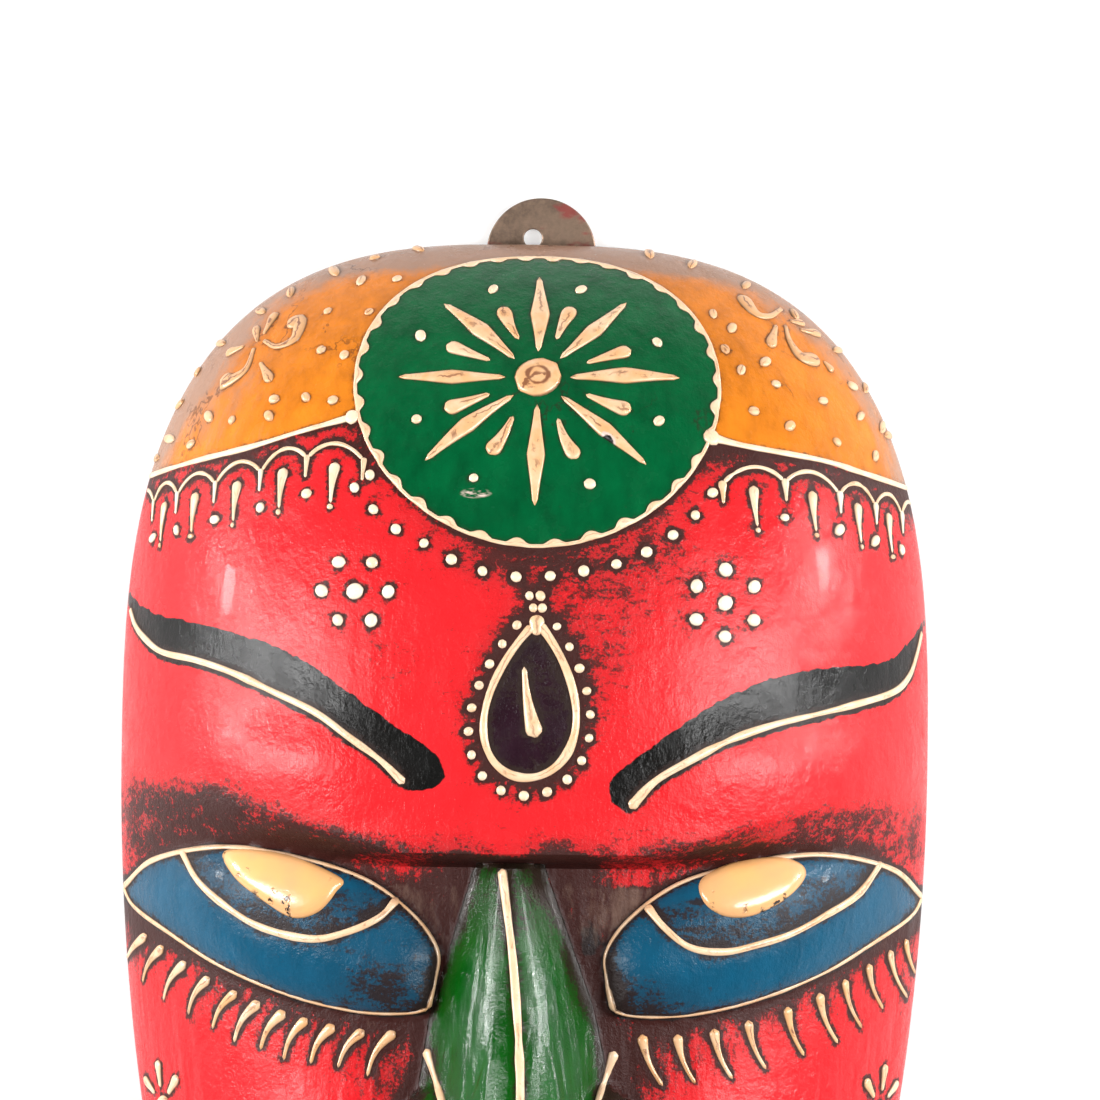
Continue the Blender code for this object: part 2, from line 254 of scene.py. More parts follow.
def nose_rise(x, y):
    along, side, _ = nose_side(x, y)
    height = np.interp(along, *zip(*NOSE_HEIGHTS))
    slope = np.sqrt(side ** 2 + NOSE_RIDGE_ROUND ** 2) - NOSE_RIDGE_ROUND
    flank = np.clip(1 - slope / (math.hypot(1, NOSE_RIDGE_ROUND) - NOSE_RIDGE_ROUND), 0, 1)
    tip = 1 - ease((along - 1 + NOSE_UNDERSIDE) / NOSE_UNDERSIDE)
    return height * flank * tip * (along >= 0)


def wing_rise(x, y):
    out = (abs(x) - WING_PLACE[0] * HALF) / WING_WIDTH
    up = (y + WING_PLACE[1] * JAW_REACH) / WING_LENGTH
    return WING_HEIGHT * np.sqrt(np.clip(1 - out ** 2 - up ** 2, 0, 1))


def swelling(x, y, place, spread, height):
    from_middle = np.hypot(abs(x) - place[0] * HALF, y + place[1] * JAW_REACH)
    return height * np.exp(-(from_middle / spread) ** 2)


def lips(side):
    """Heights of the upper and the lower lip, at a share of the mouth's half width."""
    body = 1 - side ** 2
    dip = 1 - LIP_DIP * np.exp(-(side / LIP_DIP_SPREAD) ** 2)
    return UPPER_LIP * body * dip, LOWER_LIP * np.sqrt(body)


def lip_rise(across, down):
    side = np.minimum(1, across / MOUTH_HALF)
    body = 1 - side ** 2
    upper_lip, lower_lip = lips(side)
    upper = (MOUTH_LINE - down) / np.maximum(1e-6, upper_lip)
    lower = (down - MOUTH_LINE) / np.maximum(1e-6, lower_lip)
    place = np.where(down < MOUTH_LINE, upper, lower)
    roll = np.sqrt(np.clip(1 - (2 * np.clip(place, 0, 1) - 1) ** 2, 0, 1))
    return LIP_HEIGHT * roll * np.sqrt(body)


def front(x, y):
    """Height of the carved front over the back plane."""
    across, down = abs(x) / HALF, -y / JAW_REACH
    guard = 1 - edge_share(x, y) ** EDGE_GUARD
    ground = dome(x, y) - brow_cut(across, down) * guard
    flesh = (eye_rise(x, y) + lip_rise(across, down) + brow_rise(across, y)
             + swelling(x, y, CHEEK_PLACE, CHEEK_SPREAD, CHEEK_HEIGHT)
             + swelling(x, y, (0, CHIN_PLACE), CHIN_SPREAD, CHIN_HEIGHT))
    nose = softer(nose_rise(x, y), wing_rise(x, y), WING_BLEND) - WING_BLEND / 4
    nose = nose - swelling(x, y, NOSTRIL_PLACE, NOSTRIL_SPREAD, NOSTRIL_DEPTH)
    return ground + np.maximum(flesh, nose) * guard


def lifted(plan):
    """Plan points on the face as points in the world."""
    return np.column_stack([plan[:, 0], plan[:, 1] + FACE_Y, front(plan[:, 0], plan[:, 1])])


def normals(plan, reach=0.0004):
    x, y = plan[:, 0], plan[:, 1]
    slope_x = (front(x + reach, y) - front(x - reach, y)) / (2 * reach)
    slope_y = (front(x, y + reach) - front(x, y - reach)) / (2 * reach)
    n = np.column_stack([-slope_x, -slope_y, np.ones(len(x))])
    return n / np.linalg.norm(n, axis=1, keepdims=True)


def placed(name, data):
    made = bpy.data.objects.new(name, data)
    bpy.context.scene.collection.objects.link(made)
    return made


def smoothed(made, sharp):
    """Shade a piece smooth, but for the edges sharper than so many degrees."""
    made.data.shade_smooth()
    made.data.set_sharp_from_angle(angle=math.radians(sharp))


def even(path, step):
    """The path again, with its points about a step apart."""
    run = np.concatenate([[0], np.cumsum(np.linalg.norm(np.diff(path, axis=0), axis=1))])
    spots = np.linspace(0, run[-1], max(3, int(run[-1] / step) + 1))
    return np.column_stack([np.interp(spots, run, path[:, k]) for k in range(path.shape[1])])


class Relief:
    """Raised lines, drops and dots of slip on the face, gathered into one mesh."""

    SIDES = 7          # points over the rounded top of a stroke
    SINK = 0.00025     # how far a stroke's foot runs into the wood

    def __init__(self):
        self.points, self.faces, self.count = [], [], 0
        self.rise, self.tones, self.across = [], [], []
        self.marks = []        # the middle of every stroke, with its half width
        self.tone = 0.4        # from -1, dusty, by 0, peach, to 1, nearly white

    def stroke(self, plan, half, lift=1.0):
        """A rounded stroke along plan points, with a half width at each."""
        plan, half = np.asarray(plan, float), np.asarray(half, float)
        ok = edge_share(plan[:, 0], plan[:, 1]) < 0.9995
        if ok.sum() < 3:
            return
        plan, half = plan[ok], half[ok]
        spots, up = lifted(plan), normals(plan)
        along = np.gradient(spots, axis=0)
        along /= np.linalg.norm(along, axis=1, keepdims=True) + 1e-12
        side = np.cross(up, along)
        side /= np.linalg.norm(side, axis=1, keepdims=True) + 1e-12
        height = lift * 0.95 * half / (1 + half / (1.2 * MM))
        turn = np.linspace(0, math.pi, self.SIDES)
        across = np.concatenate([np.cos(turn), [-0.96, 0.96]])
        over = np.concatenate([np.sin(turn) ** 0.8, [0, 0]])
        foot = np.concatenate([np.zeros(self.SIDES), [1, 1]])
        ring = (spots[:, None] + side[:, None] * (across * half[:, None])[..., None]
                + up[:, None] * (over * height[:, None] - foot * self.SINK)[..., None])
        n, k = ring.shape[:2]
        base = self.count
        self.points.append(ring.reshape(-1, 3))
        self.rise.append(np.tile(over, n))
        self.across.append(np.tile(across, n))
        self.tones.append(np.full(n * k, np.clip(self.tone + rng.normal(0, 0.08), -1, 1)))
        a = base + np.arange(n - 1)[:, None] * k + np.arange(k)[None]
        b = base + np.arange(n - 1)[:, None] * k + (np.arange(k) + 1)[None] % k
        self.faces += np.stack([a, a + k, b + k, b], -1).reshape(-1, 4).tolist()
        self.faces.append(list(range(base, base + k)))
        self.faces.append(list(range(base + (n - 1) * k, base + n * k))[::-1])
        self.count += n * k
        self.marks.append(np.column_stack([spots, half]))

    def line(self, points, half=0.72, start=1.0, end=1.0):
        """A cream line through plan points in mm; start and end swell or thin its ends."""
        path = even(through(np.array(points) * MM, 12, False), 0.0005)
        run = np.linspace(0, 1, len(path))
        length = len(path) * 0.5
        knots = 9 + len(path) // 12
        hand = 1 + 0.13 * np.interp(run, np.linspace(0, 1, knots), rng.normal(size=knots))
        swell = (1 + (start - 1) * np.exp(-run * length / 1.6)
                 + (end - 1) * np.exp(-(1 - run) * length / 1.6))
        half = half * MM * hand * swell
        from_end = np.minimum(run, 1 - run) * length * MM
        self.stroke(path, half * rounded(from_end / half))

    def drop(self, head, tail, half=1.3, thin=0.35, bend=0.0, lens=False, taper=1.7):
        """A drop from its thick head to its thin tail, both in mm, bent sideways."""
        head, tail = np.array(head, float), np.array(tail, float)
        aside = np.array([tail[1] - head[1], head[0] - tail[0]])
        t = np.linspace(0, 1, 19)
        path = head + (tail - head) * t[:, None] + aside * (bend * np.sin(math.pi * t))[:, None]
        length = np.linalg.norm(tail - head)
        body = (1 - np.abs(2 * t - 1) ** 1.2) ** 1.5 if lens else np.clip(1 - t, 0, 1) ** taper
        width = thin + (half - thin) * body
        cap = rounded(t * length / (thin if lens else half)) * rounded((1 - t) * length / thin)
        self.stroke(path * MM, width * cap * MM * rng.uniform(0.93, 1.07))

    def comma(self, points, half=1.7, thin=0.45):
        """A curled drop through plan points in mm, from its thick head to its tail."""
        path = even(through(points, 10, False), 0.4)
        t = np.linspace(0, 1, len(path))
        width = thin + (half - thin) * np.clip(1 - t, 0, 1) ** 1.5
        self.stroke(path * MM, width * rounded(t * len(path) * 0.4 / half) * MM)

    def dot(self, place, half=0.95):
        """A round dot at a place in mm: a very short stroke, turned anyhow."""
        half = half * rng.uniform(0.88, 1.12)
        turn = rng.uniform(0, math.pi)
        t = np.linspace(-0.995, 0.995, 9)
        path = np.array(place) + np.outer(t * half, (math.cos(turn), math.sin(turn)))
        self.stroke(path * MM, np.sqrt(1 - t ** 2) * half * MM * rng.uniform(0.9, 1.0), 1.15)

    def piece(self, name, look):
        """The strokes so far as one piece of the scene."""
        mesh = bpy.data.meshes.new(name)
        mesh.from_pydata(np.vstack(self.points).tolist(), [], self.faces)
        for field, values in (("rise", self.rise), ("tone", self.tones),
                              ("across", self.across)):
            mesh.attributes.new(field, "FLOAT", "POINT").data.foreach_set(
                "value", np.concatenate(values).astype(np.float32))
        mesh.materials.append(look)
        mesh.shade_smooth()
        made = placed(name, mesh)
        bm = bmesh.new()
        bm.from_mesh(mesh)
        bmesh.ops.recalc_face_normals(bm, faces=bm.faces)
        bm.to_mesh(mesh)
        bm.free()
        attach(made, "root")


def surface_polar(middle, angle, reach):
    """Plan points, in mm, at angles and distances measured on the face itself."""
    middle = np.array(middle) * MM
    up = normals(middle[None])[0]
    across = np.cross((0, 1, 0), up)
    across /= np.linalg.norm(across)
    upward = np.cross(up, across)
    reach = np.atleast_1d(np.asarray(reach, float)) * MM
    angle, reach = np.broadcast_arrays(np.atleast_1d(np.radians(angle)), reach)
    way = np.outer(np.cos(angle), across[:2]) + np.outer(np.sin(angle), upward[:2])
    way /= np.linalg.norm(way, axis=1, keepdims=True)
    out = np.linspace(0, 0.055, 111)
    spots = middle + way[:, None] * out[None, :, None]
    z = front(spots[..., 0], spots[..., 1])
    run = np.cumsum(np.hypot(np.diff(out), np.diff(z, axis=1)), axis=1)
    run = np.column_stack([np.zeros(len(run)), run])
    plan = np.array([np.interp(r, row, out) for r, row in zip(reach, run)])
    return (middle + way * plan[:, None]) / MM


# The ornament, in millimetres
MEDAL = (1.6, 71.3)
MEDAL_RADIUS = 33.8
MEDAL_BEADS = 34
RAYS = 8
BORDER_LEFT = ((-32.4, 63.5), (-42.0, 60.7), (-51.2, 57.8), (-60.6, 55.4), (-68.3, 53.1),
               (-72.4, 51.4))
BORDER_RIGHT = ((33.6, 60.6), (40.0, 59.1), (53.8, 56.8), (61.3, 54.7), (69.9, 52.1),
                (72.6, 51.0))
JOINTS_LEFT = (-30.0, -40.5, -49.0, -57.5, -64.7, -69.3, -72.4)
JOINTS_RIGHT = (35.6, 47.2, 57.4, 64.2, 69.3, 72.2)
JOINT_DROP = 5.4
FIRST_JOINT_DROP = 8.2
ARCH_RISE = 3.1
TEAR_MIDDLE = (1.2, 12.2)
TEAR_HALF = (10.5, 14.2)
TEAR_POWER = 0.8
TEAR_TILT = 0.8
TEAR_DOTS = 21
FLOWERS = (((-31.3, 31.6), 0), ((36.4, 30.3), 30))
FLOWER_RADIUS = 6.1
BROW_TOPS = (
    ((-74.6, 31.4), (-69.2, 27.2), (-56.6, 24.5), (-46.4, 21.5), (-38.4, 17.6), (-29.2, 11.0),
     (-22.3, 6.4), (-16.4, 2.3), (-14.2, -1.7), (-16.4, -4.2)),
    ((74.4, 28.2), (70.0, 22.5), (65.8, 19.7), (57.6, 18.9), (47.4, 17.2), (39.5, 14.3),
     (31.7, 10.0), (23.7, 4.2), (17.6, -0.4), (15.7, -2.6), (15.9, -6.4)))
BROW_LINES = (
    ((-73.6, 27.8), (-72.4, 24.6), (-70.3, 22.1), (-67.0, 19.8), (-60.6, 18.5), (-53.6, 16.3),
     (-46.3, 13.1), (-38.3, 9.4), (-32.2, 5.1), (-26.3, 0.9), (-21.8, -3.3)),
    ((73.4, 25.4), (72.4, 21.0), (70.8, 16.8), (67.6, 14.0), (59.6, 11.6), (53.6, 10.1),
     (45.5, 8.1), (37.6, 5.3), (29.8, 1.2), (23.8, -2.5), (19.4, -7.3)))
BLACK_BELOW = 1.5          # how far the black shows under the brow's line
IRISES = (
    ((-63.1, -16.4), (-59.5, -22.3), (-53.1, -27.4), (-46.9, -30.5), (-38.6, -32.1),
     (-32.5, -30.9), (-26.3, -28.1), (-22.8, -24.5)),
    ((66.2, -17.2), (61.8, -23.0), (55.4, -27.0), (49.3, -30.2), (43.1, -32.2), (37.0, -33.5),
     (30.8, -32.7), (26.0, -29.1), (22.7, -25.2)))
PUPILS = (
    ((-54.6, -16.4), (-53.0, -21.0), (-47.6, -25.2), (-42.0, -28.3), (-37.4, -27.2),
     (-34.2, -23.6), (-33.4, -20.8), (-44.0, -16.8)),
    ((32.7, -20.4), (33.2, -24.4), (36.9, -26.9), (41.9, -26.9), (47.9, -24.0), (51.6, -20.2),
     (51.2, -17.6), (47.0, -16.3), (39.0, -17.2)))
# A pupil's round, from its foot in: share of its outline, and height over the eye
PUPIL_ROUND = ((1.0, -0.3), (1.0, 0.12), (0.93, 0.55), (0.82, 0.85), (0.66, 1.0), (0.45, 1.08),
               (0.22, 1.12))
LASHES_LEFT = (-69.5, -66.2, -61.9, -57.4, -52.3, -48.0, -43.3, -39.2, -34.2, -28.7, -23.0)
LASHES_RIGHT = (22.2, 28.7, 35.4, 41.7, 48.9, 54.8, 59.5, 64.0, 68.0, 71.0)
LASH_DROP = 3.4
# The eyes: side, lashes, how far these reach out and down, and their width, point, bend and taper
EYES = ((-1, LASHES_LEFT, 4.4, 7.2, (1.2, 0.34, 0.11, 1.9)),
        (1, LASHES_RIGHT, 3.5, 9.2, (1.25, 0.38, 0.07, 3.2)))
RIDGE_LINE = ((-3.8, -18.7), (-2.8, -26.0), (-1.7, -34.1), (-0.9, -42.3), (-0.2, -51.8),
              (0.1, -60.3), (0.0, -74.0), (0.0, -84.5))
WING_LINE = ((17.3, -52.1), (14.3, -61.0), (11.6, -70.0), (10.8, -78.0), (12.4, -86.0))
CHEEK_FLOWERS = ((-66.2, -64.0), (66.6, -63.0))
COMMAS = (((-44.9, 80.3), (-42.6, 81.3), (-43.4, 78.0), (-46.7, 76.5), (-49.1, 77.6)),
          ((-54.9, 71.3), (-56.4, 69.6), (-52.5, 72.1), (-51.0, 76.1)),
          ((38.9, 87.2), (41.7, 83.9), (44.3, 83.4), (46.5, 84.8)),
          ((53.6, 75.4), (50.4, 75.8), (48.1, 78.7), (47.3, 81.6)))
CROWN_DROPS = (((-47.6, 70.0), (-49.8, 73.6)), ((-47.1, 82.9), (-49.3, 78.8)),
               ((-50.8, 80.3), (-50.4, 77.4)), ((-56.2, 75.2), (-52.8, 76.6)),
               ((44.4, 77.6), (45.6, 81.8)), ((50.8, 82.2), (48.2, 82.6)),
               ((53.8, 80.3), (50.0, 81.0)), ((56.2, 73.3), (54.4, 75.2)))
CROWN_DOTS = (
    (-37.4, 83.2), (-29.7, 83.1), (-31.4, 89.0), (-24.7, 89.4), (-38.4, 75.9), (-34.1, 75.0),
    (-41.0, 67.1), (-36.0, 66.6), (-46.9, 66.7), (-47.8, 63.6), (-54.7, 62.8), (-59.1, 63.4),
    (-62.4, 58.3), (-66.6, 59.3), (33.8, 83.6), (37.3, 81.0), (39.0, 73.2), (41.4, 65.6),
    (43.5, 74.8), (45.5, 70.7), (48.1, 63.0), (54.3, 67.8), (56.9, 60.2), (61.4, 65.1),
    (64.2, 57.8), (65.6, 63.2), (59.9, 70.7))
CHIN_BORDER = ((-46.0, -138.0), (-30.0, -148.0), (0.0, -153.5), (30.0, -148.0), (46.0, -138.0))
LIP_HALF_MM = MOUTH_HALF * HALF / MM
CHIP = (14.4, 59.6)        # where the lower right ray has lost its slip
SCUFF_PLACE = (-9.5, 49.8)
SCUFF_SIZE = (3.2, 1.0)
SMEAR_PLACE = (12.6, -31.8)    # a touch of the eye's blue beside the nose
SMEAR_SIZE = (1.9, 2.8)
# Where the dark wash stayed: middle, reach across and up, and strength
FOREHEAD_WASH = ((0, 24, 12, 22, 0.22), (17, 26, 13, 14, 0.28), (-24, 20, 12, 10, 0.14),
                 (3, 37, 24, 5, 0.18), (26, 40, 10, 8, 0.14))
TEMPLE_WASH = ((-60, -8, 14, 5, 0.30), (62, -10, 14, 4, 0.22), (-32, -13, 18, 3, 0.2),
               (28, -13, 16, 3, 0.2), (-22, -58, 6, 12, 0.34), (22, -57, 6, 12, 0.30))
NOSE_WASH = ((6, -21, 6, 8, 0.6), (-12, -21, 5, 9, 0.34), (12, -33, 4, 11, 0.7),
             (17, -50, 3, 14, 0.6), (0, -101, 15, 5, 0.30), (-31, -118, 6, 5, 0.30),
             (31, -118, 6, 5, 0.30))
EYE_WASH = ((-25, -40, 9, 6, 0.5), (24, -42, 8, 4, 0.36))
CROWN_DUST = ((-60, 70, 14, 16, 0.45),)
EDGE_DOTS = (
    (-21.0, 95.2), (-29.0, 93.4), (-36.5, 90.8), (-44.5, 86.8), (-50.0, 83.2), (-57.4, 77.2),
    (-61.6, 71.8), (-64.8, 65.8), (-69.6, 55.8), (22.0, 95.0), (30.0, 93.0), (40.0, 89.2),
    (49.0, 83.9), (57.2, 77.4), (62.4, 70.6), (67.0, 61.8), (69.6, 57.0), (36.0, 77.0))


def border_height(x, border):
    """Height of a border line at a place across the face."""
    line = np.array(sorted(border))
    return float(np.interp(x, line[:, 0], line[:, 1]))


def tear_outline(count, grow=0.0):
    """The third eye's outline, from its point down one side and up the other."""
    t = np.linspace(0, 2 * math.pi, count)
    x = (TEAR_HALF[0] + grow) * np.sin(t) * np.abs(np.sin(t / 2)) ** TEAR_POWER
    y = (TEAR_HALF[1] + grow) * np.cos(t)
    return np.column_stack([TEAR_MIDDLE[0] + x + TEAR_TILT * y / TEAR_HALF[1],
                            TEAR_MIDDLE[1] + y])


def lower_lid(x):
    """Height of the lower edge of an eye at a place across the face, in mm."""
    low = EYE[EYE[:, 1] < np.interp(EYE[:, 0], (0.015, 0.075), (-0.036, -0.020))] / MM
    low = low[np.argsort(low[:, 0])]
    return float(np.interp(abs(x), low[:, 0], low[:, 1]))


def draw_medal(slip):
    turn = np.linspace(0, 360, 30 * MEDAL_BEADS + 1)
    number = turn * MEDAL_BEADS / 360
    size = rng.uniform(0.75, 1.2, MEDAL_BEADS + 1)[np.round(number).astype(int) % MEDAL_BEADS]
    bead = size * ease(1 - np.abs(number - np.round(number)) / 0.34)
    ring = surface_polar(MEDAL, turn, MEDAL_RADIUS - 0.55 * bead)
    slip.tone = 0.45
    slip.stroke(ring * MM, (0.36 + 0.52 * bead) * MM)
    slip.tone = 0.1
    slip.dot(MEDAL, 4.0)
    for k in range(RAYS):
        ray = 360 / RAYS * k + rng.normal(0, 1.6)
        near, far = surface_polar(MEDAL, ray, (6.0, 26.0 + rng.normal(0, 0.6)))
        slip.tone = 0.2
        slip.drop(near, far, rng.uniform(1.6, 2.0), 0.5, rng.normal(0, 0.015), lens=True)
        ray += 180 / RAYS + rng.normal(0, 1.5)
        head, tail = surface_polar(MEDAL, ray, (18.4, 9.6))
        slip.drop(head, tail, 1.85, 0.42, rng.normal(0, 0.03), taper=1.25)
        slip.tone = 0.6
        slip.dot(surface_polar(MEDAL, ray, 23.9)[0], 1.0)
    slip.tone = 0.75
    for ray in np.linspace(-143, -38, 14):
        slip.dot(surface_polar(MEDAL, ray, 39.7 + rng.normal(0, 0.4))[0], 1.0)
    slip.dot((-28.9, 52.9))


def draw_border(slip, border, joints):
    slip.tone = 0.6
    slip.line(border, 0.55, start=2.2)
    slip.dot(border[0], 1.5)
    side = math.copysign(1, joints[0])
    heights = [border_height(x, border) - JOINT_DROP for x in joints]
    heights[0] -= FIRST_JOINT_DROP - JOINT_DROP
    spots = list(zip(joints, heights))
    for (x0, y0), (x1, y1) in zip(spots, spots[1:]):
        t = np.linspace(0.02, 0.98, 9)
        bow = np.column_stack([x0 + (x1 - x0) * t,
                               y0 + (y1 - y0) * t + ARCH_RISE * np.sin(math.pi * t) ** 0.75])
        slip.tone = 0.45
        slip.line(bow, 0.38)
        middle = ((x0 + x1) / 2, (y0 + y1) / 2 - 0.4)
        if abs(x1 - x0) > 3.5:
            tail = np.array((middle[0] + 0.8 * side, middle[1] - 7.4))
            slip.drop(middle, tail, 1.4, 0.3, 0.02)
            slip.dot(tail + (0.1 * side, -0.7), 0.5)
    for n, (x, y) in enumerate(spots[:-1]):
        slip.drop((x, y + 0.8), (x + 0.3 * side, y - 3.4), 1.15 if side > 0 else 0.7, 0.3)
        if n:
            slip.tone = 0.8
            slip.dot((x, y - 6.4), 0.95)


def draw_tear(slip):
    slip.tone = 0.4
    slip.line(tear_outline(60)[2:-2:2], 0.72, start=1.5, end=1.5)
    top = (TEAR_MIDDLE[0] + TEAR_TILT, TEAR_MIDDLE[1] + TEAR_HALF[1])
    slip.drop((top[0], top[1] + 1.3), (top[0], top[1] - 2.4), 1.9, 1.1)
    slip.tone = 0.2
    slip.drop((2.1, 5.4), (-0.2, 18.2), 1.75, 0.45, -0.03)
    slip.tone = 0.6
    ring = even(tear_outline(200, 3.3)[9:-9], 0.02)
    for spot in ring[np.linspace(0, len(ring) - 1, TEAR_DOTS).astype(int)]:
        slip.dot(spot, 0.88)
    for x in (0.6, 2.6):
        slip.dot((x, top[1] + 4.8), 0.95)


def draw_flowers(slip):
    slip.tone = 1.0
    for (x, y), turn in FLOWERS:
        slip.dot((x, y), 1.45)
        for k in range(6):
            way = math.radians(60 * k + turn)
            slip.dot((x + FLOWER_RADIUS * math.cos(way), y + FLOWER_RADIUS * math.sin(way)), 1.25)


def draw_brows(slip):
    slip.tone = 0.45
    for line in BROW_LINES:
        slip.line(line, 0.62, end=1.9)


def draw_eyes(slip):
    for side, lashes, out, down, (half, thin, bend, taper) in EYES:
        upper = np.array(EYE_UPPER + EYE_INNER) * (side * HALF, -JAW_REACH) / MM
        slip.tone = 0.35
        slip.line(upper, 0.68, end=1.6)
        lower = np.array(EYE_INNER[-1:] + EYE_LOWER + EYE_UPPER[:1])
        slip.tone = 0.15
        slip.line(lower * (side * HALF, -JAW_REACH) / MM, 0.52)
        for x in lashes:
            y = lower_lid(x) - LASH_DROP
            tail = (x + side * out + rng.normal(0, 0.3), y - down + rng.normal(0, 0.4))
            slip.drop((x, y), tail, half, thin, bend, taper=taper)
    slip.tone = 0.4
    for iris in IRISES:
        slip.line(iris, 0.66, end=1.5)


def draw_sprays(slip):
    """Two commas and some drops that spread from a point on each side of the crown."""
    slip.tone = -0.55
    for points in COMMAS:
        slip.comma(points, 2.0)
    for head, tail in CROWN_DROPS:
        slip.drop(head, tail, 1.6, 0.4)
    for spot in EDGE_DOTS:
        slip.dot(spot, 0.95)
    slip.tone = 0.25
    for spot in CROWN_DOTS:
        slip.dot(spot, 0.95)


def draw_nose(slip):
    slip.line(RIDGE_LINE, 0.78, start=1.5, end=1.3)
    for side in (-1, 1):
        slip.line(np.array(WING_LINE) * (side, 1), 0.6, start=2.2)


def draw_cheeks(slip):
    for x, y in CHEEK_FLOWERS:
        slip.dot((x, y), 1.5)
        for k in range(7):
            ray = 90 + 360 / 7 * k
            head, tail = surface_polar((x, y), ray, (8.2, 3.2))
            slip.drop(head, tail, 1.35, 0.5)


def draw_mouth(slip):
    side = np.linspace(-1, 1, 21)
    scale = -JAW_REACH / MM
    upper_lip, lower_lip = lips(side)
    for edge in (MOUTH_LINE - upper_lip, MOUTH_LINE + lower_lip):
        slip.line(np.column_stack([side * LIP_HALF_MM, scale * edge]), 0.62)
    for x in np.linspace(-0.7, 0.7, 7) * LIP_HALF_MM:
        slip.dot((x, scale * (MOUTH_LINE + LOWER_LIP) - 4.2 + 3.0 * (x / LIP_HALF_MM) ** 2))


def draw_chin(slip):
    slip.line(CHIN_BORDER, 0.75)
    for row, (y, count) in enumerate(((-160.0, 6), (-167.0, 5), (-174.0, 3))):
        for x in np.linspace(-1, 1, count) * (22.0 - 6.5 * row):
            slip.dot((x, y + 0.010 * x * x))
    for y in np.arange(-78.0, -136.0, -7.5):
        for side in (-1, 1):
            slip.dot((side * (float(half_width(np.array(y * MM))) / MM - 7.0), y))


# Colours, as the photograph shows them, in sRGB
RED = (228, 36, 42)
ORANGE = (228, 130, 30)
CIRCLE_GREEN = (0, 94, 50)
NOSE_GREEN = (0, 84, 10)
BLUE = (16, 84, 114)
BLACK = (18, 18, 17)
WINE = (44, 20, 34)
WASH = (40, 26, 22)
WHITE_SLIP = (250, 232, 206)
PEACH_SLIP = (224, 168, 116)
DUSTY_SLIP = (206, 158, 112)
PEACH = (238, 178, 112)
# pale tan: dust on the crown, painted highlights in the sockets and under the eyes
DUST_AND_GLINT = (150, 122, 106)
SCUFF = (214, 190, 178)
STAIN = (104, 46, 22)
WOOD = (92, 58, 36)
STEEL = (168, 142, 122)
DARK_RED = (120, 16, 18)
IRON = (58, 50, 46)
DARK_IRON = (24, 20, 19)


def linear(color, share=1.0):
    """An sRGB colour as linear light, or a share of that light."""
    c = np.array(color) / 255
    light = np.where(c <= 0.04045, c / 12.92, ((c + 0.055) / 1.055) ** 2.4)
    return tuple(light * share) + (1.0,)


class Shader:
    """A node material, built by short calls. Every call gives a socket."""

    def __init__(self, name):
        self.material = bpy.data.materials.new(name)
        self.material.use_nodes = True
        self.nodes = self.material.node_tree.nodes
        self.links = self.material.node_tree.links
        self.end = self.nodes["Principled BSDF"]
        self.place = self.nodes.new("ShaderNodeTexCoord").outputs["Object"]

    def give(self, socket, value):
        if isinstance(value, bpy.types.NodeSocket):
            self.links.new(value, socket)
        else:
            socket.default_value = value

    def field(self, name):
        node = self.nodes.new("ShaderNodeAttribute")
        node.attribute_name = name
        return node.outputs["Fac"]

    def from_place(self, operation, value):
        node = self.nodes.new("ShaderNodeVectorMath")
        node.operation = operation
        self.give(node.inputs[0], self.place)
        node.inputs[1].default_value = value
        return node.outputs

    def stretched(self, scale):
        return self.from_place("MULTIPLY", scale)[0]

    def distance(self, point):
        """How far the shaded place is from a point of the world."""
        return self.from_place("DISTANCE", point)["Value"]

    def noise(self, scale, detail=3.0, rough=0.55, place=None, distortion=0.0):
        node = self.nodes.new("ShaderNodeTexNoise")
        for key, value in (("Vector", place or self.place), ("Scale", scale), ("Detail", detail),
                           ("Roughness", rough), ("Distortion", distortion)):
            self.give(node.inputs[key], value)
        return node.outputs["Fac"]

    def math(self, operation, a, b=0.0, c=0.0):
        node = self.nodes.new("ShaderNodeMath")
        node.operation = operation
        for socket, value in zip(node.inputs, (a, b, c)):
            self.give(socket, value)
        return node.outputs[0]

    def times(self, a, b):
        return self.math("MULTIPLY", a, b)

    def plus(self, a, b):
        return self.math("ADD", a, b)

    def span(self, value, low, high, to_low=0.0, to_high=1.0, smooth=False):
        """The value carried from one range to another, and held at its ends."""
        node = self.nodes.new("ShaderNodeMapRange")
        node.interpolation_type = "SMOOTHSTEP" if smooth else "LINEAR"
        for key, given in (("Value", value), ("From Min", low), ("From Max", high),
                           ("To Min", to_low), ("To Max", to_high)):
            self.give(node.inputs[key], given)
        return node.outputs["Result"]

    def mix(self, share, a, b):
        node = self.nodes.new("ShaderNodeMix")
        node.data_type = "RGBA"
        self.give(node.inputs[0], share)
        self.give(node.inputs[6], a)
        self.give(node.inputs[7], b)
        return node.outputs[2]

    def bump(self, height, distance, before=None):
        node = self.nodes.new("ShaderNodeBump")
        node.inputs["Distance"].default_value = distance
        self.give(node.inputs["Height"], height)
        if before:
            self.give(node.inputs["Normal"], before)
        return node.outputs[0]

    def finish(self, color, roughness, normal=None, **plain):
        self.give(self.end.inputs["Base Color"], color)
        self.give(self.end.inputs["Roughness"], roughness)
        if normal:
            self.give(self.end.inputs["Normal"], normal)
        for key, value in plain.items():
            self.end.inputs[key.replace("_", " ")].default_value = value
        return self.material


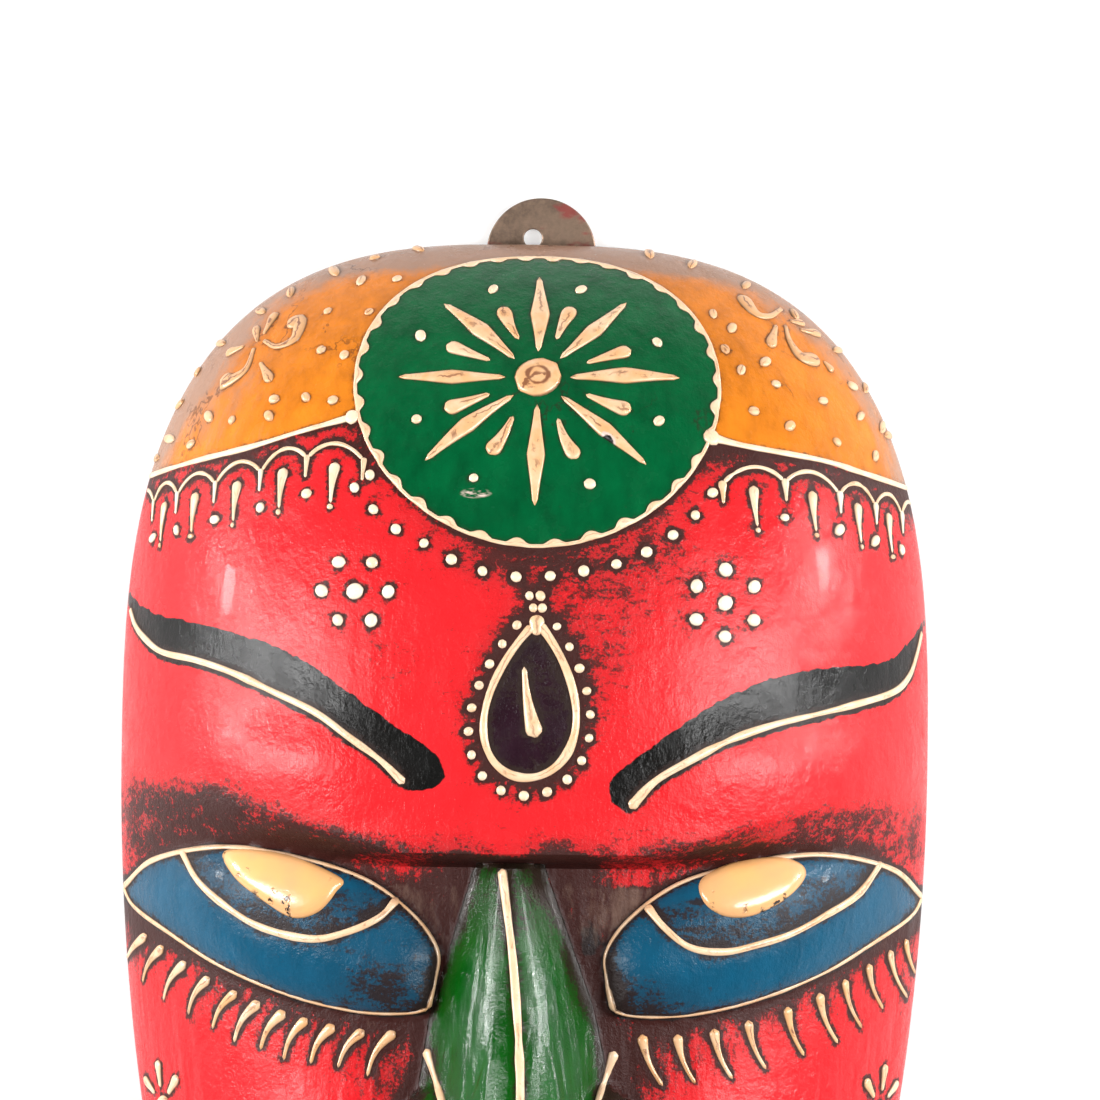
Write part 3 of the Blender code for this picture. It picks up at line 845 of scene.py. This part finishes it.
def paint_look():
    """The painted front: each colour inside its own field, then the dark wash and the varnish."""
    s = Shader("painted_front")
    wobble = s.span(s.noise(420, 2), 0.3, 0.7, -0.28, 0.28)
    cloud = s.noise(38, 4, 0.6)
    brush = s.noise(260, 4, 0.65, s.stretched((1.0, 0.35, 1.0)))

    def inside(name):
        return s.span(s.plus(s.field(name), wobble), -0.12, 0.12)

    uneven = s.span(s.plus(s.times(cloud, 0.5), s.times(brush, 0.5)), 0.35, 0.65)

    def tint(color, darkest, share=0.8):
        return s.mix(s.times(uneven, share), linear(color), linear(color, darkest))

    color = tint(RED, 0.72, 0.45)
    for name, paint, darkest in (
            ("crown", ORANGE, 0.5), ("chin", ORANGE, 0.5), ("lips", ORANGE, 0.5),
            ("medal", CIRCLE_GREEN, 0.4), ("nose", NOSE_GREEN, 0.4), ("tear", WINE, 0.35),
            ("brow", BLACK, 0.5), ("eye", BLUE, 0.6)):
        color = s.mix(inside(name), color, tint(paint, darkest))

    # Dark wash: a thin film that breaks into specks and short streaks where it was wiped away
    speck = s.span(s.noise(1700, 3, 0.7), 0.32, 0.68)
    flat = s.noise(520, 4, 0.75, s.stretched((0.45, 1.0, 1.0)), 0.4)
    upright = s.noise(520, 4, 0.75, s.stretched((1.0, 0.3, 1.0)), 0.4)
    turned = s.span(s.field("gouged"), 0.1, 0.5)
    streak = s.math("MULTIPLY_ADD", s.math("SUBTRACT", upright, flat), turned, flat)
    streak = s.span(streak, 0.32, 0.68)
    blot = s.span(s.noise(120, 3, 0.6), 0.32, 0.68)
    grain = s.math("MULTIPLY_ADD", speck, 0.34, s.times(streak, 0.42))
    grain = s.math("MULTIPLY_ADD", blot, 0.24, grain)
    stain = s.field("stain")
    away = s.plus(s.field("away"), s.span(s.noise(500, 3, 0.7), 0.3, 0.7, -0.35, 0.35))
    halo = s.times(s.span(away, 0.0, 1.4, 1.0, 0.0, True), stain)
    wash = s.math("MULTIPLY_ADD", halo, 0.5, s.field("wash"))
    cover = s.span(s.plus(grain, wash), 0.90, 1.16)
    film = s.times(s.span(wash, 0.15, 0.95), 0.6)
    rim = s.times(s.span(away, 0.0, 0.45, 0.7, 0.0, True), s.span(stain, 0.0, 0.6, 0.5, 1.0))
    cover = s.times(cover, s.span(wash, 0.25, 0.75, 0.84, 0.97))
    dark = s.math("MAXIMUM", cover, s.math("MAXIMUM", film, rim))
    color = s.mix(dark, color, linear(WASH))

    # Pale tan on the crown, towards its top edge and rim, and dust on its left; in the sockets and
    # under the eyes the same pale streaks are painted highlights, glints on the rough carving. Then
    # fine cracks in the orange, and one scuff
    drift = s.noise(210, 5, 0.75, s.stretched((1.0, 0.3, 1.0)))
    dust_and_glint_share = s.times(s.span(s.plus(s.field("dust_and_glint"), drift), 0.75, 1.25), 0.85)
    color = s.mix(dust_and_glint_share, color, linear(DUST_AND_GLINT))
    vein = s.math("SUBTRACT", s.noise(60, 5, 0.62, s.stretched((1.0, 0.6, 1.0))), 0.5)
    crack = s.times(s.span(s.math("ABSOLUTE", vein), 0.003, 0.010, 1.0, 0.0),
                    s.span(s.noise(45, 3), 0.54, 0.62))
    crack = s.times(crack, s.span(inside("crown"), 0, 1, 0.0, 0.55))
    color = s.mix(crack, color, linear(WASH))
    scratch = s.noise(700, 3, 0.7, s.stretched((0.3, 1.0, 1.0)))
    scuffed = s.times(s.span(scratch, 0.45, 0.55), s.span(s.field("scuff"), 0.0, 0.3))
    color = s.mix(scuffed, color, linear(SCUFF))

    # Surface: the knife's waves and gouges, brush marks and, under the wash, worn paint
    gouge = s.noise(230, 2, 0.5, s.stretched((1.0, 0.2, 1.0)), 0.5)
    height = s.bump(s.noise(75, 3, 0.5), 0.0006)
    height = s.bump(s.times(gouge, s.field("gouged")), 0.0008, height)
    calm = s.span(s.field("nose"), -0.12, 0.12, 1.0, 0.16)
    fine = s.math("MULTIPLY_ADD", s.noise(620, 3, 0.6), 0.64, brush)
    height = s.bump(s.times(fine, calm), 0.00022, height)
    worn = s.span(s.field("wash"), 0.1, 0.6, 0.3, 1.0)
    height = s.bump(s.times(speck, worn), 0.00006, height)
    rough = s.span(s.math("MULTIPLY_ADD", dark, 0.40, s.noise(160, 3)), 0.3, 0.95, 0.13, 0.46)
    rough = s.times(rough, s.span(inside("nose"), 0, 1, 1.0, 0.20))
    return s.finish(color, rough, height, Specular_IOR_Level=0.20, Coat_Weight=0.03,
                    Coat_Roughness=0.06)


def slip_look():
    """Raised cream slip: stained at its foot and in its cracks."""
    s = Shader("cream_slip")
    rise = s.field("rise")
    vein = s.noise(330, 5, 0.7, distortion=0.6)
    shade = s.math("MULTIPLY_ADD", s.span(s.noise(300, 3), 0.3, 0.7), 0.4, s.field("tone"))
    tone = s.mix(s.span(shade, 0.2, 1.2), linear(PEACH_SLIP), linear(WHITE_SLIP))
    tone = s.mix(s.span(s.field("tone"), -0.8, -0.1, 0.75, 0.0), tone, linear(DUSTY_SLIP))
    pale = s.span(s.field("tone"), 0.0, 0.7, 1.0, 0.1)
    crack = s.times(s.span(vein, 0.56, 0.62), s.span(rise, 0.8, 0.98))
    drift = s.span(s.noise(240, 3, 0.7), 0.3, 0.7, -0.45, 0.45)
    split = s.math("ABSOLUTE", s.plus(s.field("across"), drift))
    split = s.times(s.span(split, 0.09, 0.20, 1.0, 0.0), s.span(s.noise(130, 2), 0.50, 0.55))
    crack = s.times(s.math("MAXIMUM", crack, split), pale)
    around = s.distance(lifted(np.array([MEDAL]) * MM)[0])
    curl = s.math("ABSOLUTE", s.math("SUBTRACT", around, 0.0021))
    broken = s.math("MULTIPLY_ADD", s.noise(330, 3), 0.0012, curl)
    crack = s.math("MAXIMUM", crack, s.span(broken, 0.00075, 0.00105, 1.0, 0.0))
    color = s.mix(s.times(crack, 0.85), tone, linear(STAIN))
    chip = lifted(np.array([CHIP]) * MM)[0]
    near = s.math("MULTIPLY_ADD", s.noise(600, 3), 0.0016, s.distance(chip))
    color = s.mix(s.span(near, 0.0024, 0.0026, 1.0, 0.0), color, linear(SCUFF))
    color = s.mix(s.span(near, 0.0019, 0.0021, 1.0, 0.0), color, linear(BLACK))
    foot = s.math("SUBTRACT", 1.0, s.span(rise, 0.05, 0.5))
    color = s.mix(s.times(foot, 0.75), color, linear(WASH))
    normal = s.bump(s.noise(700, 4, 0.6), 0.00006)
    return s.finish(color, 0.34, normal, Coat_Weight=0.3, Coat_Roughness=0.1)


def pupil_look():
    s = Shader("peach_enamel")
    tone = s.mix(s.span(s.noise(110, 3), 0.35, 0.65), linear(PEACH_SLIP), linear(PEACH))
    pit = s.times(s.span(s.noise(420, 4, 0.7), 0.56, 0.60), s.span(s.noise(95, 2), 0.54, 0.60))
    color = s.mix(pit, tone, linear(WASH))
    normal = s.bump(s.math("SUBTRACT", s.noise(160, 3, 0.5), pit), 0.00025)
    return s.finish(color, 0.24, normal, Coat_Weight=0.25, Coat_Roughness=0.08)


def back_look():
    """Bare wood, darkened by handling, with its grain along the face."""
    s = Shader("bare_back")
    grain = s.noise(160, 6, 0.65, s.stretched((1.0, 0.09, 1.0)), 0.4)
    dark = linear(WOOD, 0.4)
    color = s.mix(s.span(grain, 0.35, 0.65), dark, linear(WOOD))
    color = s.mix(s.span(s.noise(28, 4), 0.5, 0.75), color, dark)
    normal = s.bump(grain, 0.0003)
    return s.finish(color, 0.72, normal)


def steel_look():
    s = Shader("tarnished_plate")
    tone = s.noise(210, 5, 0.7)
    color = s.mix(s.span(tone, 0.35, 0.65), linear(STEEL), linear(STEEL, 0.3))
    aside = s.times(s.distance((plate_x - 0.002, plate_y + 0.004, 0)), 22.0)
    smear = s.noise(260, 3, 0.6, s.stretched((0.5, 1.0, 1.0)))
    smear = s.span(s.plus(smear, aside), 0.66, 0.74)
    color = s.mix(s.times(smear, 0.8), color, linear(DARK_RED))
    normal = s.bump(s.noise(500, 4), 0.00004)
    s.give(s.end.inputs["Metallic"], s.span(smear, 0.0, 1.0, 0.85, 0.1))
    return s.finish(color, s.span(tone, 0.3, 0.7, 0.32, 0.6), normal)


def iron_look():
    s = Shader("dark_nail")
    tone = s.noise(900, 4, 0.7)
    color = s.mix(s.span(tone, 0.4, 0.6), linear(IRON), linear(DARK_IRON))
    return s.finish(color, 0.55, s.bump(tone, 0.00005), Metallic=0.8)


COLUMNS = 224
CROWN_ROWS = 138
JAW_ROWS = 252
ROW_CLOSING = 1.3          # power by which the rows draw together at the top and the chin
JOIN_HEIGHT = 0.004        # where the fine front meets the coarser back
BACK_ROUND = 0.0008        # rounding of the back's outer edge
GOUGE_DEPTH = 0.011        # height of the hollow's gouge marks, as a share of its size
BODY_CUT_PAST = 0.003      # how far the tools that cut the body and the plate reach past them
PLATE_CUT_PAST = 0.01


def rows():
    """Heights of the mesh's rows up the face, closer together at both ends."""
    crown = 1 - (1 - np.arange(1, CROWN_ROWS + 1) / CROWN_ROWS) ** ROW_CLOSING
    jaw = 1 - (1 - np.arange(JAW_ROWS, -1, -1) / JAW_ROWS) ** ROW_CLOSING
    return np.concatenate([-jaw * JAW_REACH, crown * CROWN_REACH])


def outline_loop(inset=0.0):
    """The body's outline as plan points, anticlockwise from the chin."""
    y = rows()
    x = half_width(y)
    right = np.column_stack([x, y])
    left = np.column_stack([-x, y])[-2:0:-1]
    loop = np.vstack([right, left])
    if inset:
        way = np.roll(loop, -1, 0) - np.roll(loop, 1, 0)
        way /= np.linalg.norm(way, axis=1, keepdims=True)
        loop = loop - np.column_stack([way[:, 1], -way[:, 0]]) * inset
    return loop


def front_points():
    """The points of the fine front, in rows from the chin to the crown."""
    y = rows()
    s = np.sin(np.linspace(-1, 1, COLUMNS + 1) * math.pi / 2)
    x = half_width(y)[:, None] * s[None]
    y = np.repeat(y[:, None], COLUMNS + 1, 1)
    return np.stack([x, y, front(x, y)], -1)


def fields(x, y, spots, marks):
    """Signed distances, in mm, that the paint reads, and the strength of the dark wash."""
    made = {}
    across, down = abs(x) / HALF, -y / JAW_REACH

    def within(outline):
        return inside_distance(x, y, np.array(outline) * MM) / MM

    def spot(place, size):
        return 1 - np.hypot((x / MM - place[0]) / size[0], (y / MM - place[1]) / size[1])

    def patches(*ovals):
        return sum(strength * np.exp(-((x / MM - cx) / rx) ** 2 - ((y / MM - cy) / ry) ** 2)
                   for cx, cy, rx, ry, strength in ovals)

    made["medal"] = within(surface_polar(MEDAL, np.linspace(0, 360, 180, endpoint=False),
                                         MEDAL_RADIUS))
    left, right = np.array(sorted(BORDER_LEFT)), np.array(sorted(BORDER_RIGHT))
    line = np.vstack([(-90, 46.4), left, right, (90, 46.4)])
    made["crown"] = y / MM - np.interp(x / MM, line[:, 0], line[:, 1])
    chin = np.array(((-90, -122),) + CHIN_BORDER + ((90, -122),))
    made["chin"] = np.interp(x / MM, chin[:, 0], chin[:, 1]) - y / MM
    made["tear"] = within(tear_outline(90)[:-1])
    brows = []
    for top, line in zip(BROW_TOPS, BROW_LINES):
        below = (through(line, 6, False) - (0, BLACK_BELOW))[::-1]
        brows.append(within(np.vstack([through(top, 6, False), below])))
    made["brow"] = np.maximum(*brows)
    eye = inside_distance(abs(x), y, EYE) / MM
    smear = spot(SMEAR_PLACE, SMEAR_SIZE)
    made["eye"] = np.maximum(eye + 0.7, smear)
    made["scuff"] = spot(SCUFF_PLACE, SCUFF_SIZE)
    along, side, width = nose_side(x, y)
    flank = (1 - abs(side)) * width / MM
    length = (JAW_REACH * (NOSE_BASE - NOSE_ROOT)) / MM
    wing = (1 - np.hypot((abs(x) - WING_PLACE[0] * HALF) / WING_WIDTH,
                         (y + WING_PLACE[1] * JAW_REACH) / WING_LENGTH)) * 9.0
    nose = np.minimum(flank, np.minimum(along, 1.02 - along) * length)
    made["nose"] = np.maximum(nose, wing)
    upper_lip, lower_lip = lips(np.minimum(1, across / MOUTH_HALF))
    lip = np.minimum(down - MOUTH_LINE + upper_lip, MOUTH_LINE + lower_lip - down)
    made["lips"] = np.where(across < MOUTH_HALF, lip * JAW_REACH / MM, -5)

    tree = kdtree.KDTree(len(marks))
    for n, mark in enumerate(marks):
        tree.insert(mark[:3], n)
    tree.balance()
    away = np.empty(len(spots))
    for n, place in enumerate(spots):
        _, index, far = tree.find(place)
        away[n] = far - marks[index, 3]
    made["away"] = np.clip(away / MM, 0, 9)
    wider = np.exp(-(made["away"] / 3.0) ** 2)
    red = ease(0.5 - made["crown"] / 3) * ease(0.5 - made["medal"] / 2)
    on_green = ease(0.5 + made["medal"] / 2)
    on_dark = ease(0.5 + np.maximum(made["nose"], made["eye"]) / 2)
    made["stain"] = np.clip(0.45 + 0.55 * red - 0.12 * on_green - 0.4 * on_dark, 0, 1)
    rings = (0.30 * np.exp(-((-made["tear"] - 1.6) / 2.4) ** 2)
             + 0.16 * np.exp(-((-made["medal"] - 2.0) / 3.0) ** 2) * ease((66 - y / MM) / 12))
    lace = ease((-made["crown"] - 0.2) / 1.0) * (0.22 * ease((10 + made["crown"]) / 6)
                                                 + 0.20 * ease((5.5 + made["crown"]) / 2))
    lace = lace * (1 - 0.45 * (x < 0))
    start = LEDGE_START - LEDGE_LIFT * temple_share(across)
    start = start + 0.012 * ease(across / 0.8) * (x > 0)
    soft = 0.010 + 0.04 * across
    under = ease((down - start + soft - 0.005) / soft) * ease((0.21 - down) / 0.05)
    under = under * (1 - 0.6 * ease((edge_share(x, y) - 0.95) / 0.05))
    sockets = under * ease((0.8 - eye) / 1.2) * (0.40 - 0.16 * across * (x > 0))
    below = ease((down - start - 0.014) / 0.020) * ease((0.42 - across) / 0.16) * under
    sockets = sockets + (0.16 - 0.14 * (x > 0)) * below
    brow_edge = 0.16 * np.exp(-((y / MM + 15) / 2.0) ** 2)
    lash = (eye < 0) * (down > 0.12) * (0.42 * np.exp(-(eye / 2.6) ** 2)
                                        + (0.44 - 0.22 * across) * np.exp(-(eye / 9) ** 2))
    in_nose = ease(0.5 + made["nose"] / 1.5)
    at_rim = ease((edge_share(x, y) - 0.93) / 0.07)
    nose_edge = np.exp(-((made["nose"] + 0.6) / 1.6) ** 2) * (down > 0.09) * (down < 0.5) * 0.46
    in_eye = ease(eye) * (np.exp(-(eye / 1.2) ** 2) * 0.2 + patches(*EYE_WASH))
    iris = [within(through(line, 6)) for line in IRISES]
    in_iris = ease(np.maximum(*iris) / 1.5) * 0.36
    mouth = np.exp(-((down - MOUTH_LINE) / 0.006) ** 2) * (across < MOUTH_HALF) * 0.5
    on_red = 0.05 + 0.14 * wider + patches(*FOREHEAD_WASH, *TEMPLE_WASH) + brow_edge + rings
    wash = (0.10 + on_red * red + lace * (made["medal"] < 0)
            + sockets * (1 - 0.7 * in_nose) + lash * (1 - in_nose) + nose_edge
            + patches(*NOSE_WASH) + in_eye + in_iris + mouth + 0.10 * at_rim)
    made["wash"] = np.clip(wash - 0.8 * np.clip(2 * smear, 0, 1), 0, 0.95)
    cheek = ease((down - 0.24) / 0.06) * ease((0.56 - down) / 0.12)
    beside = under * (eye < 0) * (1 - in_nose) * ease((0.5 - across) / 0.15)
    lashes = 0.5 * (eye < 0) * ease((down - 0.15 + 0.05 * across) / 0.03) * (1 - cheek) * (1 - in_nose)
    made["gouged"] = np.clip(0.38 * in_nose + 0.55 * cheek + 0.8 * beside + lashes, 0, 1)
    # Pale streaks: tan towards the crown's top edge and rim, dust on its left, and in the sockets and
    # under the eyes painted highlights, glints on the carving
    made["dust_and_glint"] = np.clip((ease((y / MM - 88) / 8) + 0.7 * at_rim + patches(*CROWN_DUST))
                           * (made["crown"] > 0) * (1 - on_green)
                           + (0.22 * below + 0.26 * np.clip(lash, 0, 0.5)) * (1 - in_nose)
                           * ease(-eye), 0, 1)
    return made


def back_solid(loop):
    """A coarse prism on the outline, to be cut by the hollow, the plate's pocket and the nail holes.
    """
    bm = bmesh.new()
    levels = ((outline_loop(BACK_ROUND), 0.0), (loop, BACK_ROUND), (loop, JOIN_HEIGHT),
              (loop, FACE_DEPTH * 1.2))
    rings = [[bm.verts.new((x, y + FACE_Y, z)) for x, y in plan] for plan, z in levels]
    bm.faces.new(rings[0][::-1])
    bm.faces.new(rings[-1]).material_index = 1
    for level, (low, high) in enumerate(zip(rings, rings[1:])):
        for k in range(len(loop)):
            n = (k + 1) % len(loop)
            face = bm.faces.new((low[k], low[n], high[n], high[k]))
            face.material_index = 1 if level == 2 else 0
    return shape_object(bm, "back_prism")


def shape_object(bm, name):
    """A shape as an object of the scene; the shape goes."""
    mesh = bpy.data.meshes.new(name)
    bm.to_mesh(mesh)
    bm.free()
    return placed(name, mesh)


def hollow_tool():
    """The scooped hollow, its wall left in shallow gouge marks."""
    bm = bmesh.new()
    bmesh.ops.create_uvsphere(bm, u_segments=72, v_segments=48, radius=1.0)
    top, bottom = CROWN_REACH - RIM_TOP, -(JAW_REACH - RIM_CHIN)
    size = np.array((HALF - RIM_SIDE, (top - bottom) / 2, FACE_DEPTH - BROW_WALL))
    for v in bm.verts:
        x, y, z = np.array(v.co) * size
        scoop = (math.sin(x / 0.0021 + 1.3 * math.sin(y / 0.009)) * math.sin(y / 0.0052 + 0.7)
                 + 0.6 * math.sin(x / 0.0047 + y / 0.0083))
        grow = 1 + GOUGE_DEPTH * scoop
        v.co = (x * grow, y * grow + FACE_Y + (top + bottom) / 2, z * grow)
    return shape_object(bm, "hollow_tool")


def post_tool(x, y, radius, low, high, sides):
    bm = bmesh.new()
    bmesh.ops.create_cone(bm, cap_ends=True, segments=sides, radius1=radius, radius2=radius,
                          depth=high - low)
    bmesh.ops.translate(bm, vec=(x, y, (low + high) / 2), verts=bm.verts)
    return shape_object(bm, "post_tool")


def cut_by(body, tools):
    """The body less its tools, as a new mesh; the tools and the body go."""
    for tool in tools:
        made = body.modifiers.new("cut", "BOOLEAN")
        made.operation, made.solver, made.object = "DIFFERENCE", "EXACT", tool
    bpy.context.view_layer.update()
    result = bpy.data.meshes.new_from_object(body.evaluated_get(
        bpy.context.evaluated_depsgraph_get()))
    for old in [body] + tools:
        bpy.data.objects.remove(old, do_unlink=True)
    return result


def middle(low, high):
    """The middle of a box, seen from above."""
    return (low[0] + high[0]) / 2, (low[1] + high[1]) / 2


PLATE_GAP = 0.0003
SHANK_RADIUS = 0.0007
NAIL_HEAD = 0.0006
HANG_HOLE = 0.0017
HANG_RISE = 0.0027
HANG_ASIDE = -0.0016
plate_x, plate_y = middle(plate_low, plate_high)
plate_radius = (plate_high[0] - plate_low[0]) / 2
nails = {name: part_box(name) for name in ("hanger_nail_left", "hanger_nail_right")}


def make_body(marks):
    """The carved body: a fine painted front joined to its back."""
    loop = outline_loop()
    tools = [hollow_tool(), post_tool(plate_x, plate_y, plate_radius + PLATE_GAP, -BODY_CUT_PAST,
                                      plate_high[2] + PLATE_GAP, 64)]
    for low, high in nails.values():
        tools.append(post_tool(*middle(low, high), SHANK_RADIUS + PLATE_GAP, -BODY_CUT_PAST,
                               high[2] + PLATE_GAP, 16))
    bare = bpy.data.materials.new("keep")
    drop = bpy.data.materials.new("drop")
    prism = back_solid(loop)
    prism.data.materials.append(bare)
    prism.data.materials.append(drop)
    back = cut_by(prism, tools)

    bm = bmesh.new()
    bm.from_mesh(back)
    bmesh.ops.delete(bm, geom=[f for f in bm.faces if f.material_index == 1], context="FACES")
    for face in bm.faces:
        face.material_index = 1
        flat = abs(face.normal.z) < 0.9
        far = max(edge_share(np.array(v.co.x), np.array(v.co.y - FACE_Y)) for v in face.verts)
        if flat and far > 0.985:
            face.material_index = 0
    points = front_points()
    count, wide = points.shape[:2]
    grid = [[bm.verts.new((x, y + FACE_Y, z)) for x, y, z in row] for row in points]
    for low, high in zip(grid, grid[1:]):
        for k in range(wide - 1):
            bm.faces.new((low[k], low[k + 1], high[k + 1], high[k]))
    for side, turned in ((0, False), (wide - 1, True)):
        foot = [bm.verts.new((row[side].co.x, row[side].co.y, JOIN_HEIGHT)) for row in grid]
        for n in range(count - 1):
            quad = (foot[n], grid[n][side], grid[n + 1][side], foot[n + 1])
            bm.faces.new(quad[::-1] if turned else quad)
    bmesh.ops.remove_doubles(bm, verts=bm.verts, dist=2e-6)
    bmesh.ops.dissolve_degenerate(bm, edges=bm.edges, dist=1e-7)
    bmesh.ops.recalc_face_normals(bm, faces=bm.faces)
    mesh = bpy.data.meshes.new("carved_body")
    bm.to_mesh(mesh)
    bm.free()
    spots = np.empty(len(mesh.vertices) * 3)
    mesh.vertices.foreach_get("co", spots)
    spots = spots.reshape(-1, 3)
    for name, values in fields(spots[:, 0], spots[:, 1] - FACE_Y, spots, marks).items():
        mesh.attributes.new(name, "FLOAT", "POINT").data.foreach_set(
            "value", np.asarray(values, np.float32))
    mesh.materials.append(paint_look())
    mesh.materials.append(back_look())
    made = placed("carved_body", mesh)
    smoothed(made, 50)
    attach(made, "root")
    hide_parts("mask_body")


def make_pupils():
    """The pupils: pools of slip that stand proud of the eyes."""
    bm = bmesh.new()
    for outline in PUPILS:
        edge = through(outline, 10) * MM
        center = edge.mean(0)
        rings = []
        for share, rise in PUPIL_ROUND:
            plan = center + (edge - center) * share
            spots = lifted(plan) + normals(plan) * rise * MM
            rings.append([bm.verts.new(p) for p in spots])
        for low, high in zip(rings, rings[1:]):
            for k in range(len(edge)):
                n = (k + 1) % len(edge)
                bm.faces.new((low[k], low[n], high[n], high[k]))
        bm.faces.new(rings[-1])
        bm.faces.new(rings[0][::-1])
    bmesh.ops.recalc_face_normals(bm, faces=bm.faces)
    made = shape_object(bm, "pupils")
    made.data.materials.append(pupil_look())
    made.data.shade_smooth()
    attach(made, "root")


def make_plate():
    """The sheet-metal disc, its rim rounded and its face a little uneven."""
    thick = plate_high[2] - plate_low[2]
    body = post_tool(plate_x, plate_y, plate_radius, plate_low[2], plate_high[2], 96)
    past = PLATE_CUT_PAST
    tools = [post_tool(plate_x + HANG_ASIDE, plate_y + HANG_RISE, HANG_HOLE, -past, past, 40)]
    for low, high in nails.values():
        tools.append(post_tool(*middle(low, high), SHANK_RADIUS + PLATE_GAP, -past, past, 20))
    made = placed("tin_disc", cut_by(body, tools))
    bevel = made.modifiers.new("rim", "BEVEL")
    bevel.width, bevel.segments, bevel.limit_method = thick * 0.3, 2, "ANGLE"
    made.data.materials.clear()
    made.data.materials.append(steel_look())
    smoothed(made, 40)
    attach(made, "root")
    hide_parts("hanger_plate")


def make_nail(name, look):
    """A turned nail with a low domed head, where the frame's own nail is."""
    low, high = nails[name]
    radius, length = (high[0] - low[0]) / 2, high[2] - low[2]
    profile = ((0, 0), (radius * 0.7, 0.00004), (radius, 0.0002), (radius, NAIL_HEAD),
               (SHANK_RADIUS, NAIL_HEAD), (SHANK_RADIUS, length * 0.8), (0, length))
    bm = bmesh.new()
    line = [bm.verts.new((r, 0, h)) for r, h in profile]
    edges = [bm.edges.new(pair) for pair in zip(line, line[1:])]
    bmesh.ops.spin(bm, geom=line + edges, cent=(0, 0, 0), axis=(0, 0, 1), angle=2 * math.pi,
                   steps=24, use_merge=True)
    bmesh.ops.remove_doubles(bm, verts=bm.verts, dist=1e-6)
    bmesh.ops.recalc_face_normals(bm, faces=bm.faces)
    bmesh.ops.translate(bm, vec=(*middle(low, high), low[2]), verts=bm.verts)
    made = shape_object(bm, name.replace("hanger_", "plate_"))
    made.data.materials.append(look)
    smoothed(made, 40)
    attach(made, "root")
    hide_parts(name)


def make_floor():
    bm = bmesh.new()
    bmesh.ops.create_grid(bm, x_segments=1, y_segments=1, size=FLOOR_HALF)
    floor = shape_object(bm, "pale_floor")
    floor.location.z = -FLOOR_DROP
    floor.data.materials.append(Shader("pale_floor").finish(
        FLOOR_SHADE, 0.8, Specular_IOR_Level=0.0, Emission_Color=(1.0, 1.0, 1.0, 1.0),
        Emission_Strength=FLOOR_GLOW))


def make_lamp(name, place, size, power, spread):
    """A rectangular lamp at a place over the widest line, aimed at the mask."""
    light = bpy.data.lights.new(name, "AREA")
    light.shape = "RECTANGLE"
    light.size, light.size_y = size
    light.energy = power
    light.spread = math.radians(spread)
    made = placed(name, light)
    made.location = (place[0], place[1] + FACE_Y, place[2])
    way = Vector((0, FACE_Y, LAMP_AIM)) - made.location
    made.rotation_euler = way.to_track_quat("-Z", "Y").to_euler()


def make_studio():
    """A pale band round the horizon, a dim ceiling, and the lamps."""
    world = bpy.data.worlds.new("studio")
    world.use_nodes = True
    tree = world.node_tree
    place = tree.nodes.new("ShaderNodeTexCoord").outputs["Generated"]
    apart = tree.nodes.new("ShaderNodeSeparateXYZ")
    fall = tree.nodes.new("ShaderNodeMapRange")
    fall.interpolation_type = "SMOOTHSTEP"
    for key, value in (("From Min", BAND_FADE[0]), ("From Max", BAND_FADE[1]),
                       ("To Min", HORIZON), ("To Max", CEILING)):
        fall.inputs[key].default_value = value
    tree.links.new(place, apart.inputs[0])
    tree.links.new(apart.outputs["Z"], fall.inputs["Value"])
    tree.links.new(fall.outputs["Result"], tree.nodes["Background"].inputs["Strength"])
    tree.nodes["Background"].inputs["Color"].default_value = (1.0, 1.0, 1.0, 1.0)
    bpy.context.scene.world = world
    for lamp in LAMPS:
        make_lamp(*lamp)
    bpy.context.scene.view_settings.view_transform = "Standard"


def make_camera():
    camera = bpy.data.cameras.new("camera")
    camera.sensor_width = 36.0
    camera.lens = camera.sensor_width * (CAMERA_HEIGHT - PICTURE_LEVEL) / PICTURE_WIDTH
    camera.clip_end = 20
    made = placed("camera", camera)
    made.location = (PICTURE_MIDDLE[0], PICTURE_MIDDLE[1] + FACE_Y, CAMERA_HEIGHT)
    made.rotation_euler = (0, 0, math.radians(PICTURE_LEAN))
    bpy.context.scene.camera = made


def main():
    make_camera()
    look = slip_look()
    groups = {
        "slip_medal": (draw_medal,),
        "slip_crown": (lambda s: draw_border(s, BORDER_LEFT, JOINTS_LEFT),
                       lambda s: draw_border(s, BORDER_RIGHT, JOINTS_RIGHT), draw_sprays),
        "slip_forehead": (draw_tear, draw_flowers, draw_brows),
        "slip_eyes": (draw_eyes,),
        "slip_lower_face": (draw_nose, draw_cheeks, draw_mouth, draw_chin),
    }
    marks = []
    for name, steps in groups.items():
        slip = Relief()
        for step in steps:
            step(slip)
        slip.piece(name, look)
        marks += slip.marks
    make_body(np.vstack(marks))
    make_pupils()
    make_plate()
    iron = iron_look()
    for name in nails:
        make_nail(name, iron)
    make_floor()
    make_studio()


main()
